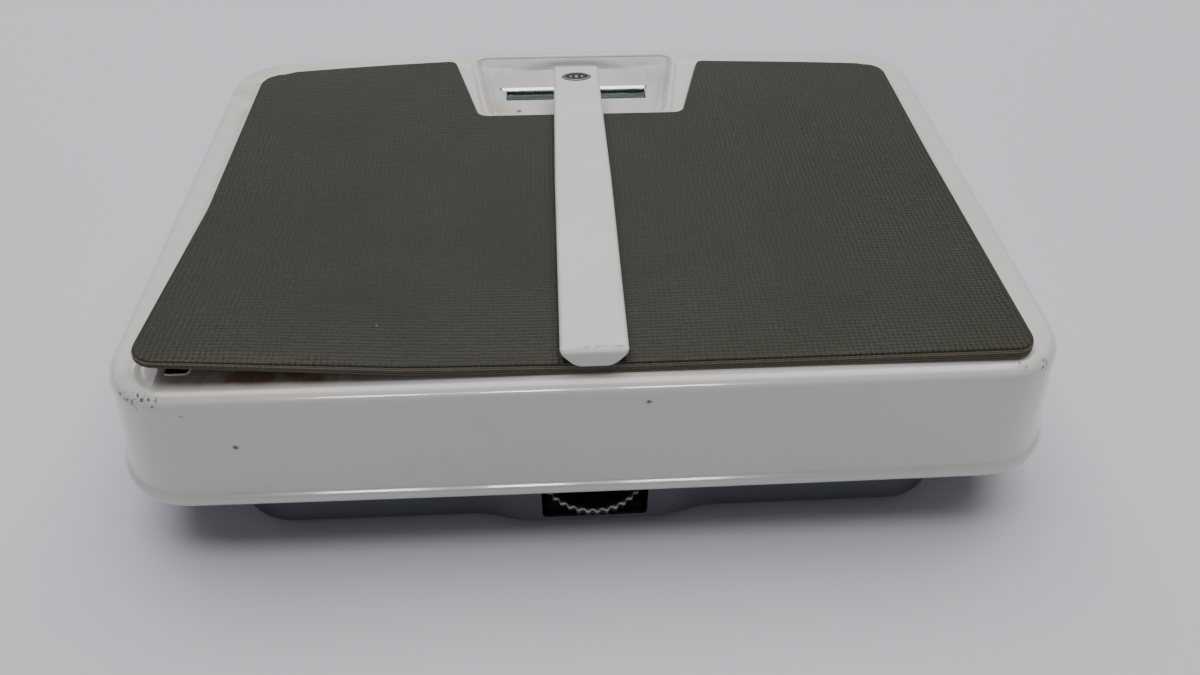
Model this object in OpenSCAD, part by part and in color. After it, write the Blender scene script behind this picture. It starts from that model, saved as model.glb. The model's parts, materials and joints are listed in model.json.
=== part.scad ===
// Mechanical spring-and-lever personal weighing scale, seen from its heel side along +Y.
// The origin is on the floor under the middle of the cover. +X is right, +Y points
// towards the dial window and +Z is up. All sizes are in millimetres.

/* [Cover] */
// Overall width, over the rolled bead at the foot of the skirt
cover_w = 315; // [311:1:319]
// Overall depth over the bead, at the middle of the bowed rear edge
cover_d = 215.2; // [214:0.2:217]
// Height of the raised rim round the mat
rim_z = 74.5; // [74:0.5:76]
// Height of the foot of the skirt
skirt_z = 27.5; // [24:0.5:29]
// Thickness of the cover's steel sheet
cover_t = 1; // [0.8:0.1:1.2]
// Plan radius of the corners at the shoulder
corner_r = 22; // [18:1:26]
// How far the skirt leans outwards at the sides, from the shoulder to its foot
side_lean = 8.5; // [6:0.5:9]
// How far the skirt leans outwards at the front and the rear
end_lean = 1.5; // [1:0.5:3]
// How much the corners' plan radius grows from the shoulder to the foot
corner_lean = 4; // [2:0.5:5]
// How far the rolled bead stands out from the skirt
bead_out = 2; // [1.5:0.5:2.5]
// Height of the rolled bead
bead_h = 3.5; // [2.5:0.5:5]
// Rounding between the top and the skirt
shoulder_r = 4.5; // [3:0.5:4.5]
// Bow radius of the rear edge
rear_bow_r = 1100; // [1000:50:1500]
// Depth of the pressed seat that the mat lies in
seat_depth = 1; // [0.5:0.1:1.2]

/* [Mat] */
// Width of the mat
mat_w = 269; // [260:1:272]
// Front edge of the mat at its middle
mat_front_y = -97; // [-98:0.5:-94]
// Rear edge of the mat at its middle, where it would run without the notch
mat_rear_y = 88; // [84:0.5:89]
// Thickness of the ribbed top layer
mat_top_t = 2; // [1.5:0.1:2.2]
// Thickness of the backing layer
mat_back_t = 2; // [1:0.1:2.2]
// Half width of the notch at its near edge
notch_half_w = 41; // [39:0.5:42]
// Near edge of the notch
notch_y = 43; // [42:0.5:45]

/* [Centre bar] */
// Width of the bar at its hinged far end
bar_far_w = 18.5; // [17.5:0.5:20]
// Width of the bar from its middle to its nose
bar_near_w = 20.5; // [19:0.5:22]
// Depth of the bar's channel section
bar_h = 5.5; // [5.5:0.5:6.5]
// Wall of the channel
bar_t = 1.2; // [1:0.1:1.4]
// Far end of the bar
bar_far_y = 70.5; // [69.5:0.5:71]
// Front face of the nose
bar_nose_y = -97.2; // [-98:0.2:-95]

/* [Dial window] */
// Half width of the window recess at its near edge
window_near_half_w = 36; // [34:0.5:36.5]
// Half width of the window recess at its far edge
window_far_half_w = 44; // [42:0.5:46]
// Near edge of the recess
window_near_y = 47; // [46:0.5:50]
// Far edge of the recess
window_far_y = 96; // [93:0.5:96.5]
// Height of the recess floor
window_floor_z = 69.5; // [69:0.5:70]
// Width of the reading slot
slot_w = 60; // [50:1:60]
// Depth of the reading slot from front to rear
slot_d = 8; // [6:0.5:9]

/* [Base pan] */
// Width of the base pan
base_w = 248; // [240:1:256]
// Front wall of the base pan at its sides
base_front_y = -99; // [-100:0.5:-98]
// Rear wall of the base pan
base_rear_y = 95; // [92:0.5:96]
// How far the middle of the front wall bulges forwards round the wheel
bulge_out = 4; // [2:0.5:4]
// Thickness of the pan's sheet
base_t = 1.2; // [1:0.1:1.2]
// Height of the pan's rim
base_rim_z = 32; // [30:0.5:33]
// Height of the pan's underside, which is the height of the rubber feet
foot_h = 4.1; // [4:0.1:5]
// Diameter of a rubber foot
foot_d = 20; // [16:1:22]

/* [Zero adjuster] */
// Diameter of the scalloped thumb wheel
wheel_d = 40; // [38:0.5:40]
// Thickness of the thumb wheel's rim
wheel_t = 3; // [2.5:0.1:3.5]
// Number of scallops round the wheel
wheel_teeth = 37; // [30:1:44]
// Diameter of the adjusting spindle
spindle_d = 6; // [5:0.5:6]

/* [Levers] */
// Diameter of the fulcrum shafts and load pins
pin_d = 5; // [4:0.5:5]
// Distance from each fulcrum to the load it carries
load_arm = 16; // [15:0.5:17]
// Thickness of the lever bars
lever_t = 4; // [3:0.5:4]

/* [Rack and dial] */
// Diameter of the dial disc
dial_d = 128; // [110:1:128]
// Thickness of the dial disc
dial_t = 0.8; // [0.5:0.1:1]
// Teeth on the dial pinion
pinion_teeth = 10; // [10:1:10]
// Gear module of the rack and pinion
gear_module = 0.5; // [0.5:0.1:0.5]

/* [Fits] */
// Radial clearance of a shaft that turns in its bore
running_gap = 0.05; // [0.03:0.01:0.1]
// Clearance between parts that are held together
seat_gap = 0.02; // [0.01:0.01:0.05]
// Clearance of a lever contact at rest
contact_gap = 0.2; // [0.1:0.05:0.3]

/* [Hidden] */
$fn = 48;

// Cover
arc_steps = 8;
bow_steps = 14;
straight_bow_r = 20000;
shoulder_half_w = cover_w / 2 - bead_out - side_lean;
shoulder_front_y = -cover_d / 2 + bead_out + end_lean;
shoulder_rear_y = cover_d / 2 - bead_out - end_lean;
seat_margin = 1.6;
cover_slot_size = [7, 3];
cover_slot_x = 124.5;
cover_slot_y = -90;
cover_slot_depth = 3;
cover_slot_t = 0.8;
seat_z = rim_z - seat_depth;
ceiling_z = seat_z - cover_t;
slice_h = 0.01;

// Mat
mat_z = seat_z + mat_back_t;
mat_front_bow_r = 2200;
mat_rear_bow_r = 1080;
mat_front_corner_r = 7;
mat_rear_corner_r = 8;
notch_shift = 1.2;
notch_slope = 0.268;
notch_r = 5;

// Centre bar and its hinge
bar_z = mat_z + mat_top_t + 0.3;
bar_top_z = bar_z + bar_h;
bar_middle_y = -10;
hinge_y = 66;
hinge_z = bar_z + 2;
hinge_pin_r = 1.2;
ear_x = 4;
ear_t = 1.2;
ear_r = 2.1;
ear_neck = 3.2;
badge_y = 62;
badge_t = 0.6;

// Dial window
slot_y = 68;
slot_sheet_t = 1.5;
lens_t = 1.4;
lens_margin = 2.8;
bezel_bottom_z = window_floor_z - slot_sheet_t - lens_t - 0.1;
bezel_wall = 2;
bezel_flange = 2.5;
bezel_flange_t = 1.3;
scoop_near = [31, 54];
scoop_far = [33, 76];
pointer_t = 0.4;
pointer_w = 1;
hinge_plate_half_w = 8;
hinge_plate_y = [56, 67.5];
hinge_plate_t = 1.2;

// Base pan
floor_z = foot_h;
floor_top_z = foot_h + base_t;
base_corner_r = 20;
bulge_half_w = 22;
bulge_run = 20;
wheel_window_half_w = 18;
wheel_window_z = [7.8, 25];
foot_xy = [108, 78];
lug_x = 113;
lug_t = 1.5;
lower_hook_z = 14;
upper_hook_z = 63;
bracket_t = 1.5;
rivet_r = 1.5;
rivet_head_r = 2.6;
rivet_head_h = 1;
foot_stem_r = 3;
foot_button_r = 4.5;
foot_button_h = 1.5;
fulcrum_plate_half_d = 8;
fulcrum_foot_w = 18;
lug_half_d = 5;
lug_foot_w = 13;
lug_margin = 3;
lug_hole_r = 1.5;

// Levers. A fulcrum is written [y, z].
long_fulcrum = [78, 26];
short_fulcrum = [-78, 38];
fulcrum_x = 85;
bracket_x = 93;
bracket_plate_t = 2.5;
nose_y = -66;
long_bar_z = 20;
long_bar_h = 12;
short_bar_z = 33;
short_bar_h = 10;
tip_x = 39;
stud_x = 86;
stud_r = 5;
stud_flange_r = 9;
stud_flange_t = 1.5;
tie_y = -12;
tie_z = 39.5;
tie_r = 2.5;
tie_half_l = 50;
tip_pin_r = 2;
tip_pin_x = [34.5, 43.5];
tip_pin_z = long_bar_z + long_bar_h + contact_gap + tip_pin_r;
load_pin_x = [71, 92];

// Main spring and zero adjuster. lay is how far apart close-wound turns lie, in wires.
lay = 0.96;
wheel_y = -84;
wheel_z = 8.2;
spring_y = -62;
spring_r = 5;
spring_wire = 2;
nose_plate_z = [32, 35];
nose_plate_half_w = 8;
yoke_z = [56, 60];
stem_r = 1;
stem_hole_r = 1.3;
stem_head_r = 2.4;
stem_head_h = 1.4;
frame_x = 15;
frame_t = 2;
frame_top_z = 66;
bush_r = 4;
spindle_flange_r = 5.5;
spindle_flange_t = 0.8;
spindle_top_z = 69;
scallop_depth = 1.1;
wheel_hub_r = 7;
wheel_hub_h = 3;
clip_r = 5;
clip_groove_r = 2.4;
clip_t = 0.7;
yoke_half_w = 12.7;
yoke_y = [-92, -56];
nut_r = 5.8;
nut_h = 5;

// Bell crank. Its pivot is written [y, z].
crank_pivot = [-40, 31.8];
crank_rest = 18;
crank_arm = 16;
crank_lever = 22.7;
crank_x = 5.6;
crank_t = 1.8;
crank_pin_r = 1.5;
crank_ear_x = 9.75;
roller_r = 1.5;
roller_pin_r = 0.7;
slot_pin_r = 1;
slot_pin_gap = 0.3;

// Rack, pinion and dial
dial_y = 12;
bridge_x = 25;
bridge_top_z = 48;
bridge_t = 2;
bridge_d = 12;
bridge_foot_w = 11;
dial_bush_h = 2.5;
dial_flange_r = 5;
dial_flange_t = 1;
dial_shaft_z = 43.5;
dial_shaft_l = 19;
dial_hub_r = 2.9;
dial_clamp_r = 7;
dial_clamp_t = 1.5;
pinion_r = gear_module * pinion_teeth / 2;
tooth_pitch = PI * gear_module;
rack_z = 52.5;
rack_lip_gap = 0.3;
rack_h = 4;
rack_w = 2.1;
rack_x = pinion_r + 1.25 * gear_module;
dial_z = 59;

// Where the brackets are riveted to the pan, as [x, y]
rivet_places = concat(
    [for (s = [-1, 1], y = [73.5, 82.5, -73.5, -82.5]) [s * 81, y]],
    [for (s = [-1, 1]) [s * 30, dial_y]],
    [for (s = [-1, 1]) [s * 7, -57]],
    [[-2, -38], [13.5, -38]],
    [for (s = [-1, 1]) [s * 105, 0]]
);

// Points along an arc about [cx, cy], with its first and last points where asked
function arc(cx, cy, r, a0, a1, n, skip = 0) = [
    for (i = [skip : n - skip])
        let (a = a0 + (a1 - a0) * i / n)
        [cx + r * cos(a), cy + r * sin(a)]
];

// Plate outline with straight sides and with front and rear edges bowed outwards
function bowed(hw, yf, yr, bf, br, rf, rr) =
    let (
        cf = yf + bf,
        cr = yr - br,
        xf = hw - rf,
        xr = hw - rr,
        kf = cf - sqrt(pow(bf - rf, 2) - xf * xf),
        kr = cr + sqrt(pow(br - rr, 2) - xr * xr),
        tf = acos(xf / (bf - rf)),
        tr = acos(xr / (br - rr))
    )
    concat(
        arc(xr, kr, rr, 0, tr, arc_steps),
        arc(0, cr, br, tr, 180 - tr, bow_steps, 1),
        arc(-xr, kr, rr, 180 - tr, 180, arc_steps),
        arc(-xf, kf, rf, 180, 180 + tf, arc_steps),
        arc(0, cf, bf, 180 + tf, 360 - tf, bow_steps, 1),
        arc(xf, kf, rf, 360 - tf, 360, arc_steps)
    );

// The cover's outline, from the shoulder's (lean 0) to the skirt's foot (lean 1), grown outwards
function cover_outline(lean, grow) =
    let (
        sides = lean * side_lean + grow,
        ends = lean * end_lean + grow,
        r = corner_r + lean * corner_lean + grow
    )
    bowed(
        shoulder_half_w + sides, shoulder_front_y - ends, shoulder_rear_y + ends,
        straight_bow_r + grow, rear_bow_r + grow, r, r
    );

// The mat's outline without its notch, grown outwards
function mat_outline(grow) = bowed(
    mat_w / 2 + grow, mat_front_y - grow, mat_rear_y + grow,
    mat_front_bow_r, mat_rear_bow_r, mat_front_corner_r + grow, mat_rear_corner_r + grow
);

module slice(z, points, h = slice_h) {
    translate([0, 0, z])
        linear_extrude(h)
            polygon(points);
}

// Cylinder along X from x0 to x1
module rod_x(r, x0, x1, y, z) {
    translate([x0, y, z])
        rotate([0, 90, 0])
            cylinder(r = r, h = x1 - x0);
}

// The same on both sides of the middle
module both_sides() {
    children();
    mirror([1, 0, 0])
        children();
}

// Solid skinned over the cover's outlines. Each level is [lean, grow, z], from the bottom up.
module cover_loft(levels) {
    rings = [for (l = levels) [for (p = cover_outline(l[0], l[1])) [p[0], p[1], l[2]]]];
    n = len(rings[0]);
    top = (len(rings) - 1) * n;
    polyhedron(
        points = [for (ring = rings, p = ring) p],
        faces = concat(
            [[for (i = [0 : n - 1]) i]],
            [
                for (k = [0 : len(rings) - 2], i = [0 : n - 1])
                    let (j = (i + 1) % n)
                    [k * n + i, (k + 1) * n + i, (k + 1) * n + j, k * n + j]
            ],
            [[for (i = [n - 1 : -1 : 0]) top + i]]
        )
    );
}

// Levels of a skirt that leans in from foot_z and rolls over a rounded shoulder to top_z
function shell_levels(inset, foot_z, top_z) =
    let (r = shoulder_r - inset)
    concat(
        [[1, -inset, foot_z]],
        [for (a = [0 : 22.5 : 90]) [0, -inset - r * (1 - cos(a)), top_z - r * (1 - sin(a))]]
    );

// Levels of the rolled bead, below the skirt
function bead_levels() = [
    [1, bead_out - 1, skirt_z],
    [1, bead_out, skirt_z + 1],
    [1, bead_out, skirt_z + bead_h - 1.2]
];

// Trapezoid plan of the window recess, grown outwards
module window_plan(grow, r = 6) {
    hull()
        both_sides() {
            translate([window_near_half_w - r, window_near_y + r])
                circle(r + grow);
            translate([window_far_half_w - r, window_far_y - r])
                circle(r + grow);
        }
}

module notch_plan() {
    far_y = 120;
    translate([notch_shift, 0])
        hull()
            both_sides() {
                translate([notch_half_w - notch_r, notch_y + notch_r])
                    circle(notch_r, $fn = 32);
                translate([notch_half_w + notch_slope * (far_y - notch_y), far_y])
                    circle(0.5, $fn = 16);
            }
}

// --- Platform ---

// Blind slot under the mat, or the block it is pressed into when grown
module cover_slot(grow, depth) {
    size = cover_slot_size + [2 * grow, 2 * grow];
    top_z = grow > 0 ? ceiling_z + cover_t / 2 : rim_z;
    translate([cover_slot_x - size[0] / 2, cover_slot_y - size[1] / 2, seat_z - depth])
        cube([size[0], size[1], top_z - seat_z + depth]);
}

module platform_cover() {
    color([0.84, 0.84, 0.8])
        difference() {
            union() {
                difference() {
                    cover_loft(concat(bead_levels(), shell_levels(0, skirt_z + bead_h, rim_z)));
                    cover_loft(shell_levels(cover_t, skirt_z - 1, ceiling_z));
                }
                both_sides()
                    cover_slot(cover_slot_t, cover_slot_depth + cover_slot_t);
            }
            slice(seat_z, mat_outline(seat_margin), seat_depth + 1);
            translate([0, 0, ceiling_z - 1])
                linear_extrude(rim_z)
                    window_plan(seat_gap);
            both_sides()
                cover_slot(0, cover_slot_depth);
        }
}

module mat_layer(grow, z, t) {
    difference() {
        slice(z, mat_outline(grow), t);
        translate([0, 0, z - 1])
            linear_extrude(t + 2)
                notch_plan();
    }
}

module platform_mat() {
    color([0.27, 0.26, 0.22])
        mat_layer(0, mat_z, mat_top_t);
}

module mat_backing() {
    color([0.2, 0.19, 0.17])
        mat_layer(-0.6, seat_z, mat_back_t);
}

module dial_bezel() {
    near = scoop_near;
    far = scoop_far;
    color([0.74, 0.74, 0.72])
        difference() {
            union() {
                translate([0, 0, bezel_bottom_z])
                    linear_extrude(rim_z - bezel_bottom_z)
                        window_plan(-seat_gap);
                translate([0, 0, ceiling_z - bezel_flange_t - 0.1])
                    linear_extrude(bezel_flange_t)
                        window_plan(bezel_flange);
            }
            hull() {
                translate([0, 0, window_floor_z])
                    linear_extrude(slice_h)
                        polygon([[-near[0], near[1]], near, far, [-far[0], far[1]]]);
                translate([0, 0, rim_z + 0.2])
                    linear_extrude(slice_h)
                        window_plan(-bezel_wall);
            }
            translate([-slot_w / 2, slot_y, bezel_bottom_z - 1])
                cube([slot_w, slot_d, 10]);
            lens_pocket(0.2, 1);
            translate([-20, 56, bezel_bottom_z - 1])
                cube([40, 8, 1.5]);
        }
}

// Room for the lens under the slot, grown outwards and deepened
module lens_pocket(grow, deeper) {
    w = slot_w + 2 * lens_margin;
    d = slot_d + 2 * lens_margin;
    translate([-w / 2 - grow, slot_y - lens_margin - grow, window_floor_z - slot_sheet_t - lens_t - deeper])
        cube([w + 2 * grow, d + 2 * grow, lens_t + deeper]);
}

module dial_lens() {
    color([0.7, 0.85, 0.85, 0.4])
        lens_pocket(0, 0);
}

module index_pointer() {
    color("firebrick")
        translate([-pointer_w / 2, slot_y - 1, window_floor_z - slot_sheet_t - lens_t - pointer_t])
            cube([pointer_w, slot_d + 2, pointer_t]);
}

module stud(y, pin_z) {
    foot = pin_z + pin_d / 2 + contact_gap;
    translate([stud_x, y, foot])
        cylinder(r = stud_r, h = ceiling_z - foot);
    translate([stud_x, y, ceiling_z - stud_flange_t])
        cylinder(r = stud_flange_r, h = stud_flange_t);
}

module platform_studs() {
    color("silver")
        both_sides() {
            stud(long_fulcrum[0] - load_arm, long_fulcrum[1]);
            stud(short_fulcrum[0] + load_arm, short_fulcrum[1]);
        }
}

module bar_bracket() {
    color("silver")
        difference() {
            union() {
                translate([-hinge_plate_half_w, hinge_plate_y[0], window_floor_z])
                    cube([2 * hinge_plate_half_w, hinge_plate_y[1] - hinge_plate_y[0], hinge_plate_t]);
                both_sides() {
                    translate([ear_x, hinge_y - ear_neck / 2, window_floor_z])
                        cube([ear_t, ear_neck, hinge_z - window_floor_z]);
                    rod_x(ear_r, ear_x, ear_x + ear_t, hinge_y, hinge_z);
                }
            }
            rod_x(hinge_pin_r + seat_gap, -9, 9, hinge_y, hinge_z);
        }
}

module bar_hinge_pin() {
    color("silver")
        rod_x(hinge_pin_r, -bar_far_w / 2, bar_far_w / 2, hinge_y, hinge_z);
}

module cover_lugs() {
    color("silver")
        both_sides()
            difference() {
                union() {
                    translate([lug_x - lug_t / 2, -lug_half_d, upper_hook_z - lug_margin])
                        cube([lug_t, 2 * lug_half_d, ceiling_z - upper_hook_z + lug_margin]);
                    translate([lug_x - lug_foot_w, -lug_half_d, ceiling_z - bracket_t])
                        cube([lug_foot_w, 2 * lug_half_d, bracket_t]);
                }
                rod_x(lug_hole_r, lug_x - lug_margin, lug_x + lug_margin, 0, upper_hook_z);
            }
}

// --- Centre bar ---

module bar_plan(inset) {
    far = bar_far_w / 2 - inset;
    near = bar_near_w / 2 - inset;
    polygon([
        [-far, bar_far_y], [far, bar_far_y],
        [near, bar_middle_y], [near, bar_nose_y + inset],
        [-near, bar_nose_y + inset], [-near, bar_middle_y]
    ]);
}

module centre_bar() {
    color([0.88, 0.88, 0.86])
        difference() {
            translate([0, 0, bar_z])
                linear_extrude(bar_h)
                    bar_plan(0);
            translate([0, 0, bar_z - 1])
                linear_extrude(bar_h + 1 - bar_t)
                    bar_plan(bar_t);
            nose_relief();
            mirror([1, 0, 0])
                nose_relief();
            rod_x(hinge_pin_r + running_gap, -15, 15, hinge_y, hinge_z);
            translate([0, 0, bar_top_z - badge_t])
                linear_extrude(badge_t + 1)
                    badge_plan(seat_gap);
        }
}

// What the rounded lower corner of the nose leaves off the end wall
module nose_relief() {
    r = 4;
    half = bar_near_w / 2;
    translate([half, bar_nose_y + bar_t + 0.5, bar_z])
        rotate([90, 0, 0])
            linear_extrude(bar_t + 1)
                difference() {
                    translate([-r, -1])
                        square([r + 1, r + 1]);
                    translate([-r, r])
                        circle(r);
                }
}

// Oval plan of the badge, grown outwards
module badge_plan(grow) {
    hull()
        both_sides()
            translate([2.5, badge_y])
                circle(3.5 + grow);
}

module bar_badge() {
    color([0.3, 0.3, 0.32])
        translate([0, 0, bar_top_z - badge_t])
            linear_extrude(badge_t)
                badge_plan(0);
}

// --- Base ---

module base_plan(inset) {
    polygon(bowed(
        base_w / 2 - inset, base_front_y + inset, base_rear_y - inset,
        straight_bow_r, straight_bow_r, base_corner_r - inset, base_corner_r - inset
    ));
    polygon([
        [-bulge_half_w - bulge_run + inset / 2, base_front_y + inset],
        [-bulge_half_w + inset / 2, base_front_y - bulge_out + inset],
        [bulge_half_w - inset / 2, base_front_y - bulge_out + inset],
        [bulge_half_w + bulge_run - inset / 2, base_front_y + inset],
        [0, base_front_y + 20]
    ]);
}

module base_pan() {
    color([0.27, 0.31, 0.35])
        difference() {
            translate([0, 0, floor_z])
                linear_extrude(base_rim_z - floor_z)
                    base_plan(0);
            translate([0, 0, floor_top_z])
                linear_extrude(base_rim_z)
                    base_plan(base_t);
            translate([-wheel_window_half_w, base_front_y - 10, wheel_window_z[0]])
                cube([2 * wheel_window_half_w, 14, wheel_window_z[1] - wheel_window_z[0]]);
            for (p = rivet_places)
                translate([p[0], p[1], floor_z - 1])
                    cylinder(r = rivet_r + running_gap, h = 5);
            for (x = [-1, 1], y = [-1, 1])
                translate([x * foot_xy[0], y * foot_xy[1], floor_z - 1])
                    cylinder(r = foot_stem_r + running_gap, h = 5);
        }
}

module rubber_feet() {
    color([0.12, 0.12, 0.12])
        for (x = [-1, 1], y = [-1, 1])
            translate([x * foot_xy[0], y * foot_xy[1], 0]) {
                cylinder(d = foot_d, h = foot_h);
                cylinder(r = foot_stem_r, h = floor_top_z + foot_button_h);
                translate([0, 0, floor_top_z])
                    cylinder(r = foot_button_r, h = foot_button_h);
            }
}

module rivet_holes() {
    for (p = rivet_places)
        translate([p[0], p[1], floor_top_z - 1])
            cylinder(r = rivet_r + running_gap, h = 4);
}

module bracket_rivets() {
    color("gainsboro")
        for (p = rivet_places)
            translate([p[0], p[1], 0]) {
                translate([0, 0, floor_z - rivet_head_h])
                    cylinder(r = rivet_head_r, h = rivet_head_h);
                translate([0, 0, floor_z - rivet_head_h])
                    cylinder(r = rivet_r, h = base_t + bracket_t + 2 * rivet_head_h);
                translate([0, 0, floor_top_z + bracket_t])
                    cylinder(r = rivet_head_r, h = rivet_head_h);
            }
}

// Riveted angle bracket that carries a fulcrum shaft at [y, z]
module fulcrum_bracket(fulcrum, top) {
    y = fulcrum[0];
    difference() {
        union() {
            translate([bracket_x - bracket_plate_t / 2, y - fulcrum_plate_half_d, floor_top_z])
                cube([bracket_plate_t, 2 * fulcrum_plate_half_d, top - floor_top_z]);
            translate([bracket_x - fulcrum_foot_w, y - fulcrum_plate_half_d, floor_top_z])
                cube([fulcrum_foot_w, 2 * fulcrum_plate_half_d, bracket_t]);
        }
        rod_x(pin_d / 2 + running_gap, bracket_x - 5, bracket_x + 5, y, fulcrum[1]);
        rivet_holes();
    }
}

module rear_fulcrum_brackets() {
    color("silver")
        both_sides()
            fulcrum_bracket(long_fulcrum, long_fulcrum[1] + fulcrum_plate_half_d);
}

module front_fulcrum_brackets() {
    color("silver")
        both_sides()
            fulcrum_bracket(short_fulcrum, short_fulcrum[1] + fulcrum_plate_half_d);
}

// Upright frame that takes the pull of the main spring and carries the spindle
module spring_frame() {
    y0 = -94;
    y1 = -54;
    foot_y = -97;
    foot_half_w = 17;
    wheel_room_d = 27;
    color("silver")
        difference() {
            union() {
                translate([-foot_half_w, foot_y, floor_top_z])
                    cube([2 * foot_half_w, y1 - foot_y, bracket_t]);
                both_sides()
                    translate([frame_x - frame_t, y0, floor_top_z])
                        cube([frame_t, y1 - y0, frame_top_z - floor_top_z]);
                translate([-frame_x, y0, frame_top_z - frame_t])
                    cube([2 * frame_x, y1 - y0, frame_t]);
            }
            translate([-wheel_d / 2, y0 - 1, floor_top_z + bracket_t + 0.6])
                cube([wheel_d, wheel_room_d, wheel_t + 2.2]);
            translate([0, wheel_y, floor_z])
                cylinder(r = spindle_d / 2 + running_gap, h = 5);
            translate([0, wheel_y, frame_top_z - 5])
                cylinder(r = bush_r + seat_gap, h = 6);
            rivet_holes();
        }
}

module spindle_bush() {
    color("goldenrod")
        translate([0, wheel_y, 0])
            difference() {
                union() {
                    translate([0, 0, frame_top_z - frame_t])
                        cylinder(r = bush_r, h = frame_t);
                    translate([0, 0, frame_top_z])
                        cylinder(r = spindle_flange_r, h = spindle_flange_t);
                }
                translate([0, 0, frame_top_z - 5])
                    cylinder(r = spindle_d / 2 + running_gap, h = 10);
            }
}

// Two plates that carry the bell crank, one of them tall enough to anchor its spring
module crank_bracket() {
    y0 = crank_pivot[0] - 2;
    foot_x = [-6, 16];
    plate_x = [3, 9];
    plate_t = 1.5;
    plate_d = 8;
    plate_h = 31;
    ear_d = 4;
    ear_top_z = 57;
    color("silver")
        difference() {
            union() {
                translate([foot_x[0], y0, floor_top_z])
                    cube([foot_x[1] - foot_x[0], plate_d, bracket_t]);
                for (x = plate_x)
                    translate([x, y0, floor_top_z])
                        cube([plate_t, plate_d, plate_h]);
                translate([plate_x[1], y0, floor_top_z])
                    cube([plate_t, ear_d, ear_top_z - floor_top_z]);
            }
            rod_x(crank_pin_r + seat_gap, 0, 12, crank_pivot[0], crank_pivot[1]);
            rod_x(1.2, 5, 12, crank_pivot[0], rack_z + rack_h / 2);
            rivet_holes();
        }
}

module crank_pivot_pin() {
    head_r = 2.4;
    span = [2.2, 11.3];
    head_x = 10.6;
    color("silver") {
        rod_x(crank_pin_r, span[0], span[1], crank_pivot[0], crank_pivot[1]);
        rod_x(head_r, head_x, span[1], crank_pivot[0], crank_pivot[1]);
    }
}

module dial_bridge() {
    color("silver")
        difference() {
            union() {
                both_sides() {
                    translate([bridge_x - bridge_t, dial_y - bridge_d / 2, floor_top_z])
                        cube([bridge_t, bridge_d, bridge_top_z - floor_top_z]);
                    translate([bridge_x - bridge_t, dial_y - bridge_d / 2, floor_top_z])
                        cube([bridge_foot_w, bridge_d, bracket_t]);
                }
                translate([-bridge_x, dial_y - bridge_d / 2, bridge_top_z - bridge_t])
                    cube([2 * bridge_x, bridge_d, bridge_t]);
            }
            translate([0, dial_y, bridge_top_z - 5])
                cylinder(r = bush_r + seat_gap, h = 8);
            rivet_holes();
        }
}

module dial_bush() {
    color("goldenrod")
        translate([0, dial_y, 0])
            difference() {
                union() {
                    translate([0, 0, bridge_top_z - dial_bush_h])
                        cylinder(r = bush_r, h = dial_bush_h);
                    translate([0, 0, bridge_top_z])
                        cylinder(r = dial_flange_r, h = dial_flange_t);
                }
                translate([0, 0, bridge_top_z - 5])
                    cylinder(r = crank_pin_r + running_gap, h = 10);
            }
}

// Block on the bridge whose lips keep the rack in mesh
module rack_guide() {
    h = 10;
    wall_x = 5.5;
    wall_t = 3;
    lower_lip_x = 3.4;
    upper_lip_x = 3.7;
    lower_lip_z = bridge_top_z + 2;
    upper_lip_z = rack_z + rack_h + rack_lip_gap;
    color("whitesmoke")
        translate([0, dial_y - bridge_d / 2, 0]) {
            translate([wall_x, 0, bridge_top_z])
                cube([wall_t, bridge_d, h]);
            translate([lower_lip_x, 0, lower_lip_z])
                cube([wall_x - lower_lip_x, bridge_d, rack_z - rack_lip_gap - lower_lip_z]);
            translate([upper_lip_x, 0, upper_lip_z])
                cube([wall_x - upper_lip_x, bridge_d, bridge_top_z + h - upper_lip_z]);
        }
}

module base_lugs() {
    color("silver")
        both_sides()
            difference() {
                union() {
                    translate([lug_x - lug_t / 2, -lug_half_d, floor_top_z])
                        cube([lug_t, 2 * lug_half_d, lower_hook_z + lug_margin - floor_top_z]);
                    translate([lug_x - lug_foot_w, -lug_half_d, floor_top_z])
                        cube([lug_foot_w, 2 * lug_half_d, bracket_t]);
                }
                rod_x(lug_hole_r, lug_x - lug_margin, lug_x + lug_margin, 0, lower_hook_z);
                rivet_holes();
            }
}

// Close-wound tension spring along Z from z0, as touching turns
module coil_stack(r, wire, z0, turns) {
    translate([0, 0, z0])
        rotate_extrude()
            for (i = [0 : turns - 1])
                translate([r, wire * (0.5 + lay * i)])
                    circle(d = wire, $fn = 24);
}

// Headed stem from foot_z to top_z, with its head at the foot or at the top
module stem(foot_z, top_z, head_z) {
    translate([0, 0, foot_z])
        cylinder(r = stem_r, h = top_z - foot_z);
    translate([0, 0, head_z])
        cylinder(r = stem_head_r, h = stem_head_h);
}

module main_spring() {
    turns = 9;
    bottom = nose_plate_z[1] + 1.5;
    top = bottom + spring_wire * (1 + lay * (turns - 1));
    lower_head_z = nose_plate_z[0] - stem_head_h - contact_gap;
    upper_head_z = yoke_z[1] + contact_gap;
    color([0.35, 0.35, 0.37])
        translate([0, spring_y, 0]) {
            coil_stack(spring_r, spring_wire, bottom, turns);
            for (z = [bottom, top - spring_wire])
                translate([0, 0, z])
                    cylinder(r = spring_r, h = spring_wire);
            stem(lower_head_z, bottom + stem_r, lower_head_z);
            stem(top - stem_r, upper_head_z + stem_head_h, upper_head_z);
        }
}

// Ring of round wire standing on its edge, with its axis along Y
module hook_ring(r, wire) {
    rotate([90, 0, 0])
        rotate_extrude()
            translate([r, 0])
                circle(d = wire, $fn = 24);
}

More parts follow.
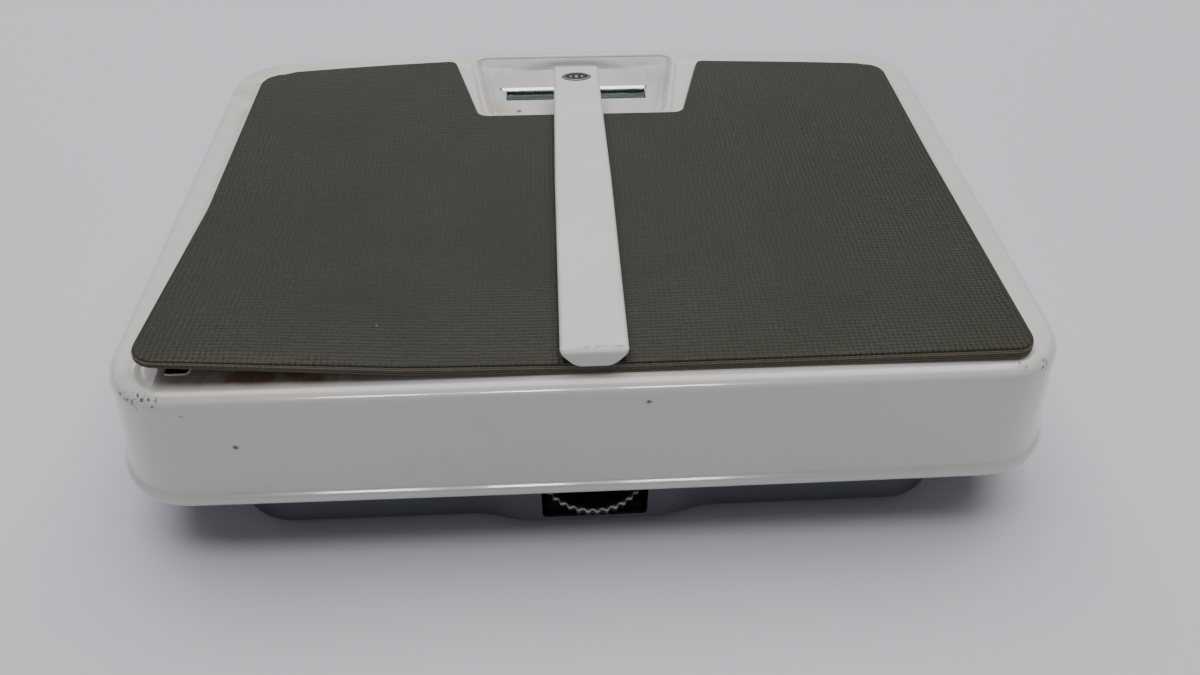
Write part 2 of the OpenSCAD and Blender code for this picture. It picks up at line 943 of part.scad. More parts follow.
module rack_spring() {
    wire = 0.6;
    hook_r = 1.7;
    start = hook_r * 2;
    turns = 27;
    end = start + wire * (1 + lay * (turns - 1));
    color([0.35, 0.35, 0.37])
        translate([crank_ear_x, crank_pivot[0], rack_z + rack_h / 2])
            rotate([-90, 0, 0]) {
                coil_stack(1.3, wire, start, turns);
                translate([0, 0, hook_r])
                    hook_ring(hook_r, wire);
                for (z = [start, end - wire])
                    translate([0, 0, z])
                        cylinder(r = 1.3, h = wire);
                translate([0, 0, end - wire])
                    cylinder(r = 0.4, h = 25.2 - end + wire);
                translate([0, 0, 23.8])
                    cylinder(r = 1.1, h = 1);
            }
}

module hold_down_springs() {
    wire = 0.9;
    hook_r = 2.2;
    start = lower_hook_z + 2 * hook_r;
    color([0.35, 0.35, 0.37])
        both_sides()
            translate([lug_x, 0, 0]) {
                translate([0, 0, start])
                    cylinder(r = 3, h = upper_hook_z - 2 * hook_r - start);
                for (z = [lower_hook_z + hook_r, upper_hook_z - hook_r])
                    translate([0, 0, z])
                        hook_ring(hook_r, wire);
            }
}

// --- Zero adjuster ---

// Rim with a scallop between each two teeth
function scallops(r, n, depth) = [
    for (i = [0 : 6 * n - 1])
        let (a = 360 * i / (6 * n), d = depth * (1 - cos(a * n)) / 2)
        [(r - d) * cos(a), (r - d) * sin(a)]
];

module zero_wheel() {
    color([0.08, 0.08, 0.08])
        translate([0, wheel_y, wheel_z])
            difference() {
                union() {
                    linear_extrude(wheel_t)
                        polygon(scallops(wheel_d / 2, wheel_teeth, scallop_depth));
                    cylinder(r = wheel_hub_r, h = wheel_t + wheel_hub_h);
                }
                translate([0, 0, -1])
                    cylinder(r = spindle_d / 2 + seat_gap, h = 12);
            }
}

module adjusting_spindle() {
    color("silver")
        translate([0, wheel_y, 0])
            difference() {
                translate([0, 0, floor_top_z + 0.2])
                    cylinder(d = spindle_d, h = spindle_top_z - floor_top_z - 0.2);
                translate([0, 0, frame_top_z + 1])
                    difference() {
                        cylinder(r = clip_r, h = clip_t + 0.1);
                        cylinder(r = clip_groove_r, h = clip_t + 0.1);
                    }
            }
}

module spindle_clip() {
    color([0.3, 0.3, 0.3])
        translate([0, wheel_y, frame_top_z + 1.05])
            difference() {
                cylinder(r = clip_r, h = clip_t);
                translate([0, 0, -1])
                    cylinder(r = clip_groove_r + 0.05, h = 3);
                translate([-clip_groove_r / 2, 0, -1])
                    cube([clip_groove_r, 8, 3]);
            }
}

module adjusting_yoke() {
    color("silver")
        difference() {
            translate([-yoke_half_w, yoke_y[0], yoke_z[0]])
                cube([2 * yoke_half_w, yoke_y[1] - yoke_y[0], yoke_z[1] - yoke_z[0]]);
            translate([0, wheel_y, yoke_z[0] - 1])
                cylinder(r = spindle_d / 2 + 0.3, h = 8);
            translate([0, spring_y, yoke_z[0] - 1])
                cylinder(r = stem_hole_r, h = 8);
        }
}

module yoke_nut() {
    color("goldenrod")
        translate([0, wheel_y, yoke_z[0] - nut_h])
            difference() {
                cylinder(r = nut_r, h = nut_h, $fn = 6);
                translate([0, 0, -1])
                    cylinder(r = spindle_d / 2 + running_gap, h = 8);
            }
}

// --- Levers ---

// Flat bar on edge between two points in plan, run on past each end
module slanted_bar(from, to, z, h, before, after) {
    d = to - from;
    translate([from[0], from[1], z])
        rotate(atan2(d[1], d[0]))
            translate([-before, -lever_t / 2, 0])
                cube([norm(d) + before + after, lever_t, h]);
}

module long_lever_bars() {
    short_of_nose = 9.3;
    color("lightsteelblue")
        both_sides()
            difference() {
                slanted_bar([fulcrum_x, long_fulcrum[0]], [0, nose_y], long_bar_z, long_bar_h,
                    6, -short_of_nose);
                rod_x(pin_d / 2 + seat_gap, 60, 110, long_fulcrum[0], long_fulcrum[1]);
                rod_x(pin_d / 2 + seat_gap, 60, 110, long_fulcrum[0] - load_arm, long_fulcrum[1]);
            }
}

module long_lever_shaft() {
    color("silver")
        rod_x(pin_d / 2, -97, 97, long_fulcrum[0], long_fulcrum[1]);
}

module collar(x, y, z) {
    difference() {
        rod_x(pin_d / 2 + 1.8, x, x + 1.5, y, z);
        rod_x(pin_d / 2 + seat_gap, x - 1, x + 3, y, z);
    }
}

module shaft_collars() {
    color([0.3, 0.3, 0.3])
        both_sides()
            collar(bracket_x + bracket_plate_t / 2 + 0.3, long_fulcrum[0], long_fulcrum[1]);
}

module long_load_pins() {
    color("silver")
        both_sides()
            rod_x(pin_d / 2, load_pin_x[0], load_pin_x[1], long_fulcrum[0] - load_arm, long_fulcrum[1]);
}

// Plate over the long lever's nose. It is cut back where the crank's arm passes beside it.
module nose_plate() {
    half = nose_plate_half_w;
    near_y = -70;
    far_y = -50;
    t = nose_plate_z[1] - nose_plate_z[0];
    color("silver")
        difference() {
            translate([-half, near_y, nose_plate_z[0]])
                cube([2 * half, far_y - near_y, t]);
            translate([crank_x - 0.1, far_y - 8.5, nose_plate_z[0] - 1])
                cube([half, half + 1, t + 2]);
            translate([0, spring_y, nose_plate_z[0] - 1])
                cylinder(r = stem_hole_r, h = t + 2);
        }
}

module short_lever_bars() {
    past_tip = 3.5;
    color("lightsteelblue")
        both_sides()
            difference() {
                slanted_bar([fulcrum_x, short_fulcrum[0]], [tip_x, 0], short_bar_z, short_bar_h,
                    6, past_tip);
                rod_x(pin_d / 2 + seat_gap, 60, 110, short_fulcrum[0], short_fulcrum[1]);
                rod_x(pin_d / 2 + seat_gap, 60, 110, short_fulcrum[0] + load_arm, short_fulcrum[1]);
                rod_x(tie_r + seat_gap, 30, 60, tie_y, tie_z);
                rod_x(tip_pin_r + seat_gap, 30, 60, 0, tip_pin_z);
            }
}

module short_fulcrum_pins() {
    color("silver")
        both_sides()
            rod_x(pin_d / 2, 80, 97, short_fulcrum[0], short_fulcrum[1]);
}

module short_load_pins() {
    color("silver")
        both_sides()
            rod_x(pin_d / 2, load_pin_x[0], load_pin_x[1], short_fulcrum[0] + load_arm, short_fulcrum[1]);
}

module short_cross_tie() {
    color("silver")
        rod_x(tie_r, -tie_half_l, tie_half_l, tie_y, tie_z);
}

module short_tip_pins() {
    color("silver")
        both_sides()
            rod_x(tip_pin_r, tip_pin_x[0], tip_pin_x[1], 0, tip_pin_z);
}

// --- Bell crank and rack ---

module bell_crank() {
    arm_r = 1.3;
    lever_r = 1.8;
    boss_r = 3.2;
    color("lightsteelblue")
        translate([crank_x, crank_pivot[0], crank_pivot[1]])
            rotate([-crank_rest, 0, 0])
                difference() {
                    union() {
                        translate([0, -crank_arm, -arm_r])
                            cube([crank_t, crank_arm, 2 * arm_r]);
                        translate([0, -lever_r, 0])
                            cube([crank_t, 2 * lever_r, crank_lever]);
                        rod_x(arm_r, 0, crank_t, -crank_arm, 0);
                        rod_x(lever_r, 0, crank_t, 0, crank_lever);
                        rod_x(boss_r, -0.8, 2.8, 0, 0);
                        rod_x(slot_pin_r, -3, crank_t, 0, crank_lever);
                        rod_x(roller_pin_r, -1.9, crank_t, -crank_arm, 0);
                    }
                    rod_x(crank_pin_r + running_gap, -3, 6, 0, 0);
                }
}

module crank_roller() {
    color("goldenrod")
        translate([crank_x, crank_pivot[0], crank_pivot[1]])
            rotate([-crank_rest, 0, 0])
                difference() {
                    rod_x(roller_r, -1.8, -0.1, -crank_arm, 0);
                    rod_x(roller_pin_r + seat_gap, -3, 1, -crank_arm, 0);
                }
}

// Trapezoid tooth: its height along +X from the root, its middle on the X axis
module rack_tooth() {
    root = 1.25 * gear_module;
    half_root = 0.55;
    half_tip = 0.12;
    polygon([
        [root + 0.1, -half_root], [root, -half_root], [-gear_module, -half_tip],
        [-gear_module, half_tip], [root, half_root], [root + 0.1, half_root]
    ]);
}

module rack() {
    teeth = 15;
    far_y = 31;
    head_half = 4;
    tail_y = -18;
    tail_t = 1.5;
    tail_x = 11.5;
    slot_half = slot_pin_r + slot_pin_gap;
    pin_y = crank_pivot[0] + crank_lever * sin(crank_rest);
    color("goldenrod")
        difference() {
            union() {
                translate([rack_x, pin_y - head_half, rack_z])
                    cube([rack_w, far_y + head_half - pin_y, rack_h]);
                translate([rack_x, pin_y - head_half, rack_z - 2.2])
                    cube([rack_w, 2 * head_half, rack_h + 3]);
                translate([rack_x, tail_y, rack_z + 0.5])
                    cube([tail_x - rack_x, tail_t, rack_h - 1]);
                for (i = [-2 : teeth - 3])
                    translate([pinion_r, dial_y + i * tooth_pitch, rack_z])
                        linear_extrude(rack_h)
                            rack_tooth();
            }
            translate([0, pin_y - slot_half, rack_z - 1])
                cube([10, 2 * slot_half, rack_h + 0.4]);
            translate([crank_ear_x, -15, rack_z + rack_h / 2])
                rotate([90, 0, 0])
                    cylinder(r = 0.7, h = 5);
        }
}

// --- Dial ---

module dial_pinion() {
    root = pinion_r - 1.25 * gear_module + 0.1;
    tip = pinion_r + gear_module;
    step = 360 / pinion_teeth;
    half_root = 9;
    half_tip = 2.6;
    color("goldenrod")
        translate([0, dial_y, rack_z - 0.5])
            difference() {
                linear_extrude(rack_h + 1)
                    polygon([
                        for (i = [0 : pinion_teeth - 1])
                            for (p = [
                                [root, -half_root], [tip, -half_tip],
                                [tip, half_tip], [root, half_root]
                            ])
                                let (a = (i + 0.5) * step + p[1])
                                [p[0] * cos(a), p[0] * sin(a)]
                    ]);
                translate([0, 0, -1])
                    cylinder(r = crank_pin_r + seat_gap, h = 8);
            }
}

module dial_shaft() {
    color("silver")
        translate([0, dial_y, dial_shaft_z])
            cylinder(r = crank_pin_r, h = dial_shaft_l);
}

module dial_shaft_clip() {
    color([0.3, 0.3, 0.3])
        translate([0, dial_y, bridge_top_z - 3.4])
            difference() {
                cylinder(r = 3.2, h = 0.7);
                translate([0, 0, -1])
                    cylinder(r = crank_pin_r + seat_gap, h = 3);
            }
}

module dial_hub() {
    color("gainsboro")
        translate([0, dial_y, 0])
            difference() {
                union() {
                    translate([0, 0, rack_z + rack_h + 0.6])
                        cylinder(r = dial_hub_r, h = dial_z - rack_z - rack_h + 2);
                    translate([0, 0, dial_z + dial_t])
                        cylinder(r = dial_clamp_r, h = dial_clamp_t);
                }
                translate([0, 0, 50])
                    cylinder(r = crank_pin_r + seat_gap, h = 20);
            }
}

module dial_disc() {
    color("ivory")
        translate([0, dial_y, dial_z])
            difference() {
                cylinder(d = dial_d, h = dial_t, $fn = 96);
                translate([0, 0, -1])
                    cylinder(r = dial_hub_r + seat_gap, h = 3);
            }
}

platform_cover();
platform_mat();
mat_backing();
dial_bezel();
dial_lens();
index_pointer();
platform_studs();
bar_bracket();
bar_hinge_pin();
cover_lugs();
centre_bar();
bar_badge();
base_pan();
rubber_feet();
spring_frame();
spindle_bush();
rear_fulcrum_brackets();
front_fulcrum_brackets();
crank_bracket();
crank_pivot_pin();
dial_bridge();
dial_bush();
rack_guide();
base_lugs();
bracket_rivets();
main_spring();
rack_spring();
hold_down_springs();
zero_wheel();
adjusting_spindle();
spindle_clip();
adjusting_yoke();
yoke_nut();
long_lever_bars();
long_lever_shaft();
shaft_collars();
long_load_pins();
nose_plate();
short_lever_bars();
short_fulcrum_pins();
short_load_pins();
short_cross_tie();
short_tip_pins();
bell_crank();
crank_roller();
rack();
dial_shaft();
dial_pinion();
dial_hub();
dial_disc();
dial_shaft_clip();
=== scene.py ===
import json
import math

import bmesh
import bpy
from mathutils import Matrix, Vector, noise
from mathutils.geometry import delaunay_2d_cdt


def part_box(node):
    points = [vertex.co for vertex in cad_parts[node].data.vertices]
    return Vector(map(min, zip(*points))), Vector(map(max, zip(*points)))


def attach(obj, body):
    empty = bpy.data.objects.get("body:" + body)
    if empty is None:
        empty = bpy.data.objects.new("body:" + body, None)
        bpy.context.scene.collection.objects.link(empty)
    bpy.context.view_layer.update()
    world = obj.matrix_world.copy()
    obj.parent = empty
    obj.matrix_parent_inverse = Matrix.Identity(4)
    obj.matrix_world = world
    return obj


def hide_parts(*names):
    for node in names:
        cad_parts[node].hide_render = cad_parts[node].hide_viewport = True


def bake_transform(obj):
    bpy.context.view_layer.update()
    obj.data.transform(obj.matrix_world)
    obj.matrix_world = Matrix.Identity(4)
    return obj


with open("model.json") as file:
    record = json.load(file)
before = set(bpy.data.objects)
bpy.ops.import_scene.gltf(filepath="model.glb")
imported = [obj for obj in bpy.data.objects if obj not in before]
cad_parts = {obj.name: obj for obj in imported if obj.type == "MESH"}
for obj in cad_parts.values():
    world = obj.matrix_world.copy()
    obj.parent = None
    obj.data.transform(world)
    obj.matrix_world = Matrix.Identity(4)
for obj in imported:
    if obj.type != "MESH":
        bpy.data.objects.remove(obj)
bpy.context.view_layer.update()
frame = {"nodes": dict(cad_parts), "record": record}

MM = 0.001
TAU = 2 * math.pi
nodes = frame["nodes"]


# --- Places read from the frame ---

cover_lo, cover_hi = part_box("platform_cover")
mat_lo, mat_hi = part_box("platform_mat")
back_lo, back_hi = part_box("mat_backing")
bezel_lo, bezel_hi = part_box("dial_bezel")
lens_lo, lens_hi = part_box("dial_lens")
bar_lo, bar_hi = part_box("centre_bar")
badge_lo, badge_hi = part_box("bar_badge")
pan_lo, pan_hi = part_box("base_pan")
feet_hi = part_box("rubber_feet")[1]
wheel_lo, wheel_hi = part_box("zero_wheel")
disc_lo, disc_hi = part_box("dial_disc")
spring_lo, spring_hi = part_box("main_spring")
nose_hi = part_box("nose_plate")[1]
yoke_lo, yoke_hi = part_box("adjusting_yoke")
rack_spring_lo, rack_spring_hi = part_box("rack_spring")
hooks_lo, hooks_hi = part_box("hold_down_springs")

RIM_Z = cover_hi.z
SKIRT_Z = cover_lo.z
SEAT_Z = back_lo.z
BEAD_OUT = 2 * MM
SIDE_LEAN = 8.5 * MM
END_LEAN = 1.5 * MM
CORNER_LEAN = 4 * MM
CORNER_R = 22 * MM
SHOULDER_R = 4.6 * MM
SHEET = 1 * MM
SCOOP_SHEET = 0.8 * MM
PAN_SHEET = 1.1 * MM
BAR_SHEET = 1.1 * MM
REAR_BOW_R = 1100 * MM
STRAIGHT_BOW_R = 20
SEAT_BOW_R = 1080 * MM
SEAT_REAR_Y = 91 * MM
SHOULDER_HALF_W = cover_hi.x - BEAD_OUT - SIDE_LEAN
SHOULDER_FRONT_Y = cover_lo.y + BEAD_OUT + END_LEAN
SHOULDER_REAR_Y = cover_hi.y - BEAD_OUT - END_LEAN

NOTCH_Y = 43 * MM
NOTCH_SLOPE = 0.268
NOTCH_LEFT = 39.6 * MM
NOTCH_RIGHT = 42.1 * MM
WINDOW_NEAR_Y = bezel_lo.y + 2.5 * MM
WINDOW_FAR_Y = bezel_hi.y - 2.5 * MM
WINDOW_FAR_HALF = bezel_hi.x - 2.5 * MM
WINDOW_NEAR_HALF = WINDOW_FAR_HALF - 8 * MM
FLOOR_Z = lens_hi.z + 1.5 * MM
# the crescent valley behind the slot
CRESCENT_IN = 2.6 * MM
CRESCENT_DEPTH = 3.2 * MM
CRESCENT_HALF_W = 30 * MM
LENS_MARGIN = 2.8 * MM
SLOT_LO = Vector((lens_lo.x + LENS_MARGIN, lens_lo.y + LENS_MARGIN))
SLOT_HI = Vector((lens_hi.x - LENS_MARGIN, lens_hi.y - LENS_MARGIN))

COVER_SLOT = Vector((124.5 * MM, -90 * MM))
BAR_HALF_FAR = 9.25 * MM
BAR_HALF_NEAR = bar_hi.x
BAR_MIDDLE_Y = -10 * MM
BULGE_HALF_W = 22 * MM
BULGE_RUN = 20 * MM
BULGE_OUT = 4 * MM
PAN_FRONT_Y = pan_lo.y + BULGE_OUT
OPENING_HALF_W = 18 * MM
OPENING_LOW_Z = 7.8 * MM
OPENING_TOP_Z = 25 * MM

# where the enamel is knocked off the shoulder: in from the side and the front, and radius, in mm
LEFT_CHIPS = ((17.5, 9.1, 1.3), (21, 7, 1.6), (24, 6.2, 1.8), (28.5, 5.8, 1.5))
RIGHT_CHIPS = ((28.3, 8.1, 1.1), (20.5, 8.6, 0.8))
# pits in the front wall: from its middle and above the skirt's foot, in mm
PITS = ((-109.4, 26.3), (-121.4, 40.7), (15.9, 40.6))
# a white speck on the mat
SPECK = Vector((-65.8 * MM, -79.7 * MM, 78.4 * MM))


# --- Outlines in plan ---

def arc(cx, cy, r, a0, a1, n, skip=0):
    """Points on an arc from angle a0 to a1, without its first and last ones if skip is 1."""
    points = []
    for i in range(skip, n + 1 - skip):
        a = a0 + (a1 - a0) * i / n
        points.append((cx + r * math.cos(a), cy + r * math.sin(a)))
    return points


def bowed(half_w, front, rear, front_bow, rear_bow, front_r, rear_r, corner_n=12, bow_n=28):
    """Plate outline with straight sides and outwards bowed front and rear edges."""
    front_c, rear_c = front + front_bow, rear - rear_bow
    front_x, rear_x = half_w - front_r, half_w - rear_r
    front_y = front_c - math.sqrt((front_bow - front_r) ** 2 - front_x * front_x)
    rear_y = rear_c + math.sqrt((rear_bow - rear_r) ** 2 - rear_x * rear_x)
    front_a = math.acos(front_x / (front_bow - front_r))
    rear_a = math.acos(rear_x / (rear_bow - rear_r))
    return (
        arc(rear_x, rear_y, rear_r, 0, rear_a, corner_n)
        + arc(0, rear_c, rear_bow, rear_a, math.pi - rear_a, bow_n, 1)
        + arc(-rear_x, rear_y, rear_r, math.pi - rear_a, math.pi, corner_n)
        + arc(-front_x, front_y, front_r, math.pi, math.pi + front_a, corner_n)
        + arc(0, front_c, front_bow, math.pi + front_a, TAU - front_a, bow_n, 1)
        + arc(front_x, front_y, front_r, TAU - front_a, TAU, corner_n)
    )


def rectangle(x0, y0, x1, y1, r, n):
    """Anticlockwise rectangle with rounded corners."""
    return rounded([(x0, y0), (x1, y0), (x1, y1), (x0, y1)], [r] * 4, n)


def rounded(corners, radii, n=6):
    """Polygon with its corners rounded, anticlockwise."""
    points = []
    for i, corner in enumerate(corners):
        c = Vector(corner)
        a = (Vector(corners[i - 1]) - c).normalized()
        b = (Vector(corners[(i + 1) % len(corners)]) - c).normalized()
        half = math.acos(max(-1, min(1, a.dot(b)))) / 2
        r = radii[i]
        centre = c + (a + b).normalized() * (r / math.sin(half))
        start = c + a * (r / math.tan(half)) - centre
        end = c + b * (r / math.tan(half)) - centre
        sweep = start.angle_signed(end)
        for k in range(n + 1):
            turn = -sweep * k / n
            s, co = math.sin(turn), math.cos(turn)
            points.append((
                centre.x + start.x * co - start.y * s,
                centre.y + start.x * s + start.y * co,
            ))
    return points


def grown(points, d):
    """The outline moved outwards by d along its corners' bisectors."""
    out = []
    for i, p in enumerate(points):
        before, after = Vector(points[i - 1]), Vector(points[(i + 1) % len(points)])
        here = Vector(p)
        a = here - before
        b = after - here
        if a.length < 1e-7:
            a = b
        if b.length < 1e-7:
            b = a
        na = Vector((a.y, -a.x)).normalized()
        nb = Vector((b.y, -b.x)).normalized()
        m = (na + nb).normalized()
        k = d / max(0.5, m.dot(na))
        out.append((here.x + m.x * k, here.y + m.y * k))
    return out


def signed_distance(x, y, outline):
    """Distance to an outline, below 0 inside it."""
    best, inside = 1e9, False
    n = len(outline)
    for i in range(n):
        ax, ay = outline[i - 1]
        bx, by = outline[i]
        dx, dy = bx - ax, by - ay
        length = dx * dx + dy * dy
        t = 0 if length == 0 else max(0, min(1, ((x - ax) * dx + (y - ay) * dy) / length))
        px, py = ax + dx * t - x, ay + dy * t - y
        best = min(best, px * px + py * py)
        if (ay > y) != (by > y) and x < ax + dx * (y - ay) / dy:
            inside = not inside
    return -math.sqrt(best) if inside else math.sqrt(best)


def smooth(a, b, x):
    """0 below a, 1 above b and an S-curve between them."""
    t = max(0.0, min(1.0, (x - a) / (b - a)))
    return t * t * (3 - 2 * t)


def cover_outline(lean, grow):
    """The cover from its shoulder (lean 0) down to its foot (lean 1), moved outwards by grow."""
    sides = lean * SIDE_LEAN + grow
    ends = lean * END_LEAN + grow
    r = CORNER_R + lean * CORNER_LEAN + grow
    return bowed(
        SHOULDER_HALF_W + sides, SHOULDER_FRONT_Y - ends, SHOULDER_REAR_Y + ends,
        STRAIGHT_BOW_R, REAR_BOW_R + grow, r, r,
    )


def window_outline(grow):
    """Rim of the dial window, moved outwards by grow."""
    corners = [
        (-WINDOW_NEAR_HALF, WINDOW_NEAR_Y), (WINDOW_NEAR_HALF, WINDOW_NEAR_Y),
        (WINDOW_FAR_HALF, WINDOW_FAR_Y), (-WINDOW_FAR_HALF, WINDOW_FAR_Y),
    ]
    return grown(rounded(corners, [6 * MM, 6 * MM, 5 * MM, 5 * MM]), grow)


def slot_outline(grow):
    """The reading slot, moved outwards by grow."""
    return grown(rectangle(*SLOT_LO, *SLOT_HI, 0.6 * MM, 3), grow)


def notch_corner(side, y):
    """Point on one side of the mat's notch."""
    half = NOTCH_RIGHT if side > 0 else NOTCH_LEFT
    return side * (half + NOTCH_SLOPE * (y - NOTCH_Y)), y


def rear_y(x):
    """Rear edge of the mat, bowed, and a little further back on its left."""
    if x < 0:
        return 89.7 * MM - x * x / 1.77
    return 85.9 * MM - x * x / 2.637


def mat_outline(corner_n=10):
    """The mat's outline, a little out of square, with the notch for the window."""
    front_y, right, left = mat_lo.y, mat_hi.x, -mat_hi.x
    # the first and last point only aim the edges that run into the notch
    notch = rounded([
        (90 * MM, 83 * MM), notch_corner(1, 85.2 * MM), notch_corner(1, NOTCH_Y),
        notch_corner(-1, NOTCH_Y), notch_corner(-1, 88.4 * MM), (-95 * MM, 85 * MM),
    ], [r * MM for r in (0.01, 3.5, 4.5, 4.5, 4, 0.01)], 6)[7:-7]
    rear_right = [(x * MM, rear_y(x * MM)) for x in range(124, 58, -6)]
    rear_left = [(x * MM, rear_y(x * MM)) for x in range(-60, -122, -6)]
    ring = rounded([
        (right - 0.1 * MM, rear_y(right - 0.1 * MM)), (left + 1.3 * MM, rear_y(left + 1.3 * MM)),
        (left + 0.9 * MM, -14 * MM), (left - 0.4 * MM, front_y + 0.5 * MM), (-60 * MM, front_y - 0.4 * MM),
        (0, front_y), (70 * MM, front_y + 0.1 * MM), (right + 0.5 * MM, front_y - 0.5 * MM),
        (right - 0.3 * MM, 8 * MM),
    ], [r * MM for r in (8, 9, 500, 8, 600, 600, 600, 6.5, 500)], corner_n)
    return ring[:corner_n + 1] + rear_right + notch + rear_left + ring[corner_n + 1:]


# --- Mesh helpers ---

def place(name, data):
    """New object in the scene."""
    obj = bpy.data.objects.new(name, data)
    bpy.context.scene.collection.objects.link(obj)
    return obj


def make_object(name, verts, faces, smooth_faces=True):
    """New mesh object."""
    mesh = bpy.data.meshes.new(name)
    mesh.from_pydata([tuple(v) for v in verts], [], faces)
    mesh.validate()
    if smooth_faces:
        mesh.shade_smooth()
    return place(name, mesh)


def edit(obj, change):
    """Runs change on the object's mesh."""
    bm = bmesh.new()
    bm.from_mesh(obj.data)
    change(bm)
    bm.to_mesh(obj.data)
    bm.free()
    return obj


def weld(obj, distance=0.01 * MM):
    """Joins doubled points and turns the normals outwards."""
    def change(bm):
        bmesh.ops.remove_doubles(bm, verts=bm.verts, dist=distance)
        bmesh.ops.dissolve_degenerate(bm, edges=bm.edges, dist=distance / 4)
        bmesh.ops.recalc_face_normals(bm, faces=bm.faces)
    return edit(obj, change)


def drop_loose(bm):
    """Deletes the points that no face uses."""
    bmesh.ops.delete(bm, geom=[v for v in bm.verts if not v.link_faces], context="VERTS")


def face_up(obj, counts=lambda face: True, way=1):
    """Turns all faces over unless the ones that count look up, or down if way is -1."""
    def change(bm):
        if way * sum(f.normal.z for f in bm.faces if counts(f)) < 0:
            bmesh.ops.reverse_faces(bm, faces=bm.faces)
    return edit(obj, change)


def evaluated(obj):
    """The mesh an object ends up with."""
    graph = bpy.context.evaluated_depsgraph_get()
    return bpy.data.meshes.new_from_object(obj.evaluated_get(graph))


def apply_modifiers(obj):
    """Makes the modifiers' result the mesh itself."""
    mesh = evaluated(obj)
    obj.modifiers.clear()
    obj.data = mesh
    return obj


def thicken(obj, thickness):
    """Gives a sheet its thickness on the side away from its normals."""
    m = obj.modifiers.new("sheet", "SOLIDIFY")
    m.thickness = thickness
    m.offset = -1
    m.use_even_offset = False
    return apply_modifiers(obj)


def cut(obj, cutter):
    """Takes the cutter's shape out of the object and deletes the cutter."""
    m = obj.modifiers.new("cut", "BOOLEAN")
    m.operation = "DIFFERENCE"
    m.solver = "EXACT"
    m.object = cutter
    apply_modifiers(obj)
    bpy.data.objects.remove(cutter)
    obj.data.shade_smooth()
    obj.data.set_sharp_from_angle(angle=math.radians(40))
    return obj


def spaced(start, stop, step):
    """Numbers from start, a step apart, below stop."""
    while start < stop:
        yield start
        start += step


def in_plan(ring):
    """A ring of points seen from above."""
    return [(p[0], p[1]) for p in ring]


def at_height(outline, z):
    """Outline in plan as points at one height."""
    return [(x, y, z) for x, y in outline]


def loft(rings, first_cap=True, last_cap=True):
    """Verts and faces of a skin over closed rings of one length."""
    n = len(rings[0])
    verts = [p for ring in rings for p in ring]
    faces = []
    for k in range(len(rings) - 1):
        for i in range(n):
            j = (i + 1) % n
            faces.append((k * n + i, k * n + j, (k + 1) * n + j, (k + 1) * n + i))
    if first_cap:
        faces.append(tuple(range(n - 1, -1, -1)))
    if last_cap:
        top = (len(rings) - 1) * n
        faces.append(tuple(range(top, top + n)))
    return verts, faces


def tube(points, r, n=10, closed=False):
    """Round wire along points."""
    rings = []
    count = len(points)
    normal = None
    for i, p in enumerate(points):
        before = points[i - 1] if i or closed else p
        after = points[(i + 1) % count] if i < count - 1 or closed else p
        t = (after - before).normalized()
        if normal is None:
            normal = t.orthogonal().normalized()
        normal = (normal - t * normal.dot(t)).normalized()
        side = t.cross(normal)
        rings.append([
            p + (normal * math.cos(TAU * k / n) + side * math.sin(TAU * k / n)) * r
            for k in range(n)
        ])
    if closed:
        rings.append(rings[0])
    return loft(rings, not closed, not closed)


def oval(centre, a, b, z, n=48):
    """Level ellipse round a centre."""
    return [
        Vector((centre.x + a * math.cos(TAU * k / n), centre.y + b * math.sin(TAU * k / n), z))
        for k in range(n)
    ]


def lathe(profile, centre, n=48, capped=True):
    """Solid turned about a vertical axis through centre, from (radius in mm, z) points."""
    return loft([oval(centre, r * MM, r * MM, z, n) for r, z in profile], capped, capped)


def merged(parts):
    """Several (verts, faces) as one."""
    verts, faces = [], []
    for v, f in parts:
        start = len(verts)
        verts += list(v)
        faces += [tuple(i + start for i in face) for face in f]
    return verts, faces


def fill(loops, outline, inner=(), holes=()):
    """Triangles inside an outline and outside its holes, with loops as edges and inner points."""
    coords, edges = [], []
    for loop in loops:
        start = len(coords)
        coords += [Vector(p) for p in loop]
        n = len(loop)
        edges += [(start + i, start + (i + 1) % n) for i in range(n)]
    coords += [Vector(p) for p in inner]
    points, _, faces, _, _, _ = delaunay_2d_cdt(coords, edges, [], 0, 1e-7)
    verts = [(v.x, v.y) for v in points]
    kept = []
    for f in faces:
        x = sum(verts[i][0] for i in f) / len(f)
        y = sum(verts[i][1] for i in f) / len(f)
        if signed_distance(x, y, outline) < 0:
            if all(signed_distance(x, y, h) > 0 for h in holes):
                kept.append(tuple(f))
    return verts, kept


def finish_piece(obj, body, slot_name, replaced=(), material=None):
    """Puts the piece on its body, with its slot's material unless another one is given."""
    obj.data.materials.clear()
    obj.data.materials.append(material or MATS[slot_name])
    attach(obj, body)
    if replaced:
        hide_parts(*replaced)
    return obj


# --- Materials ---

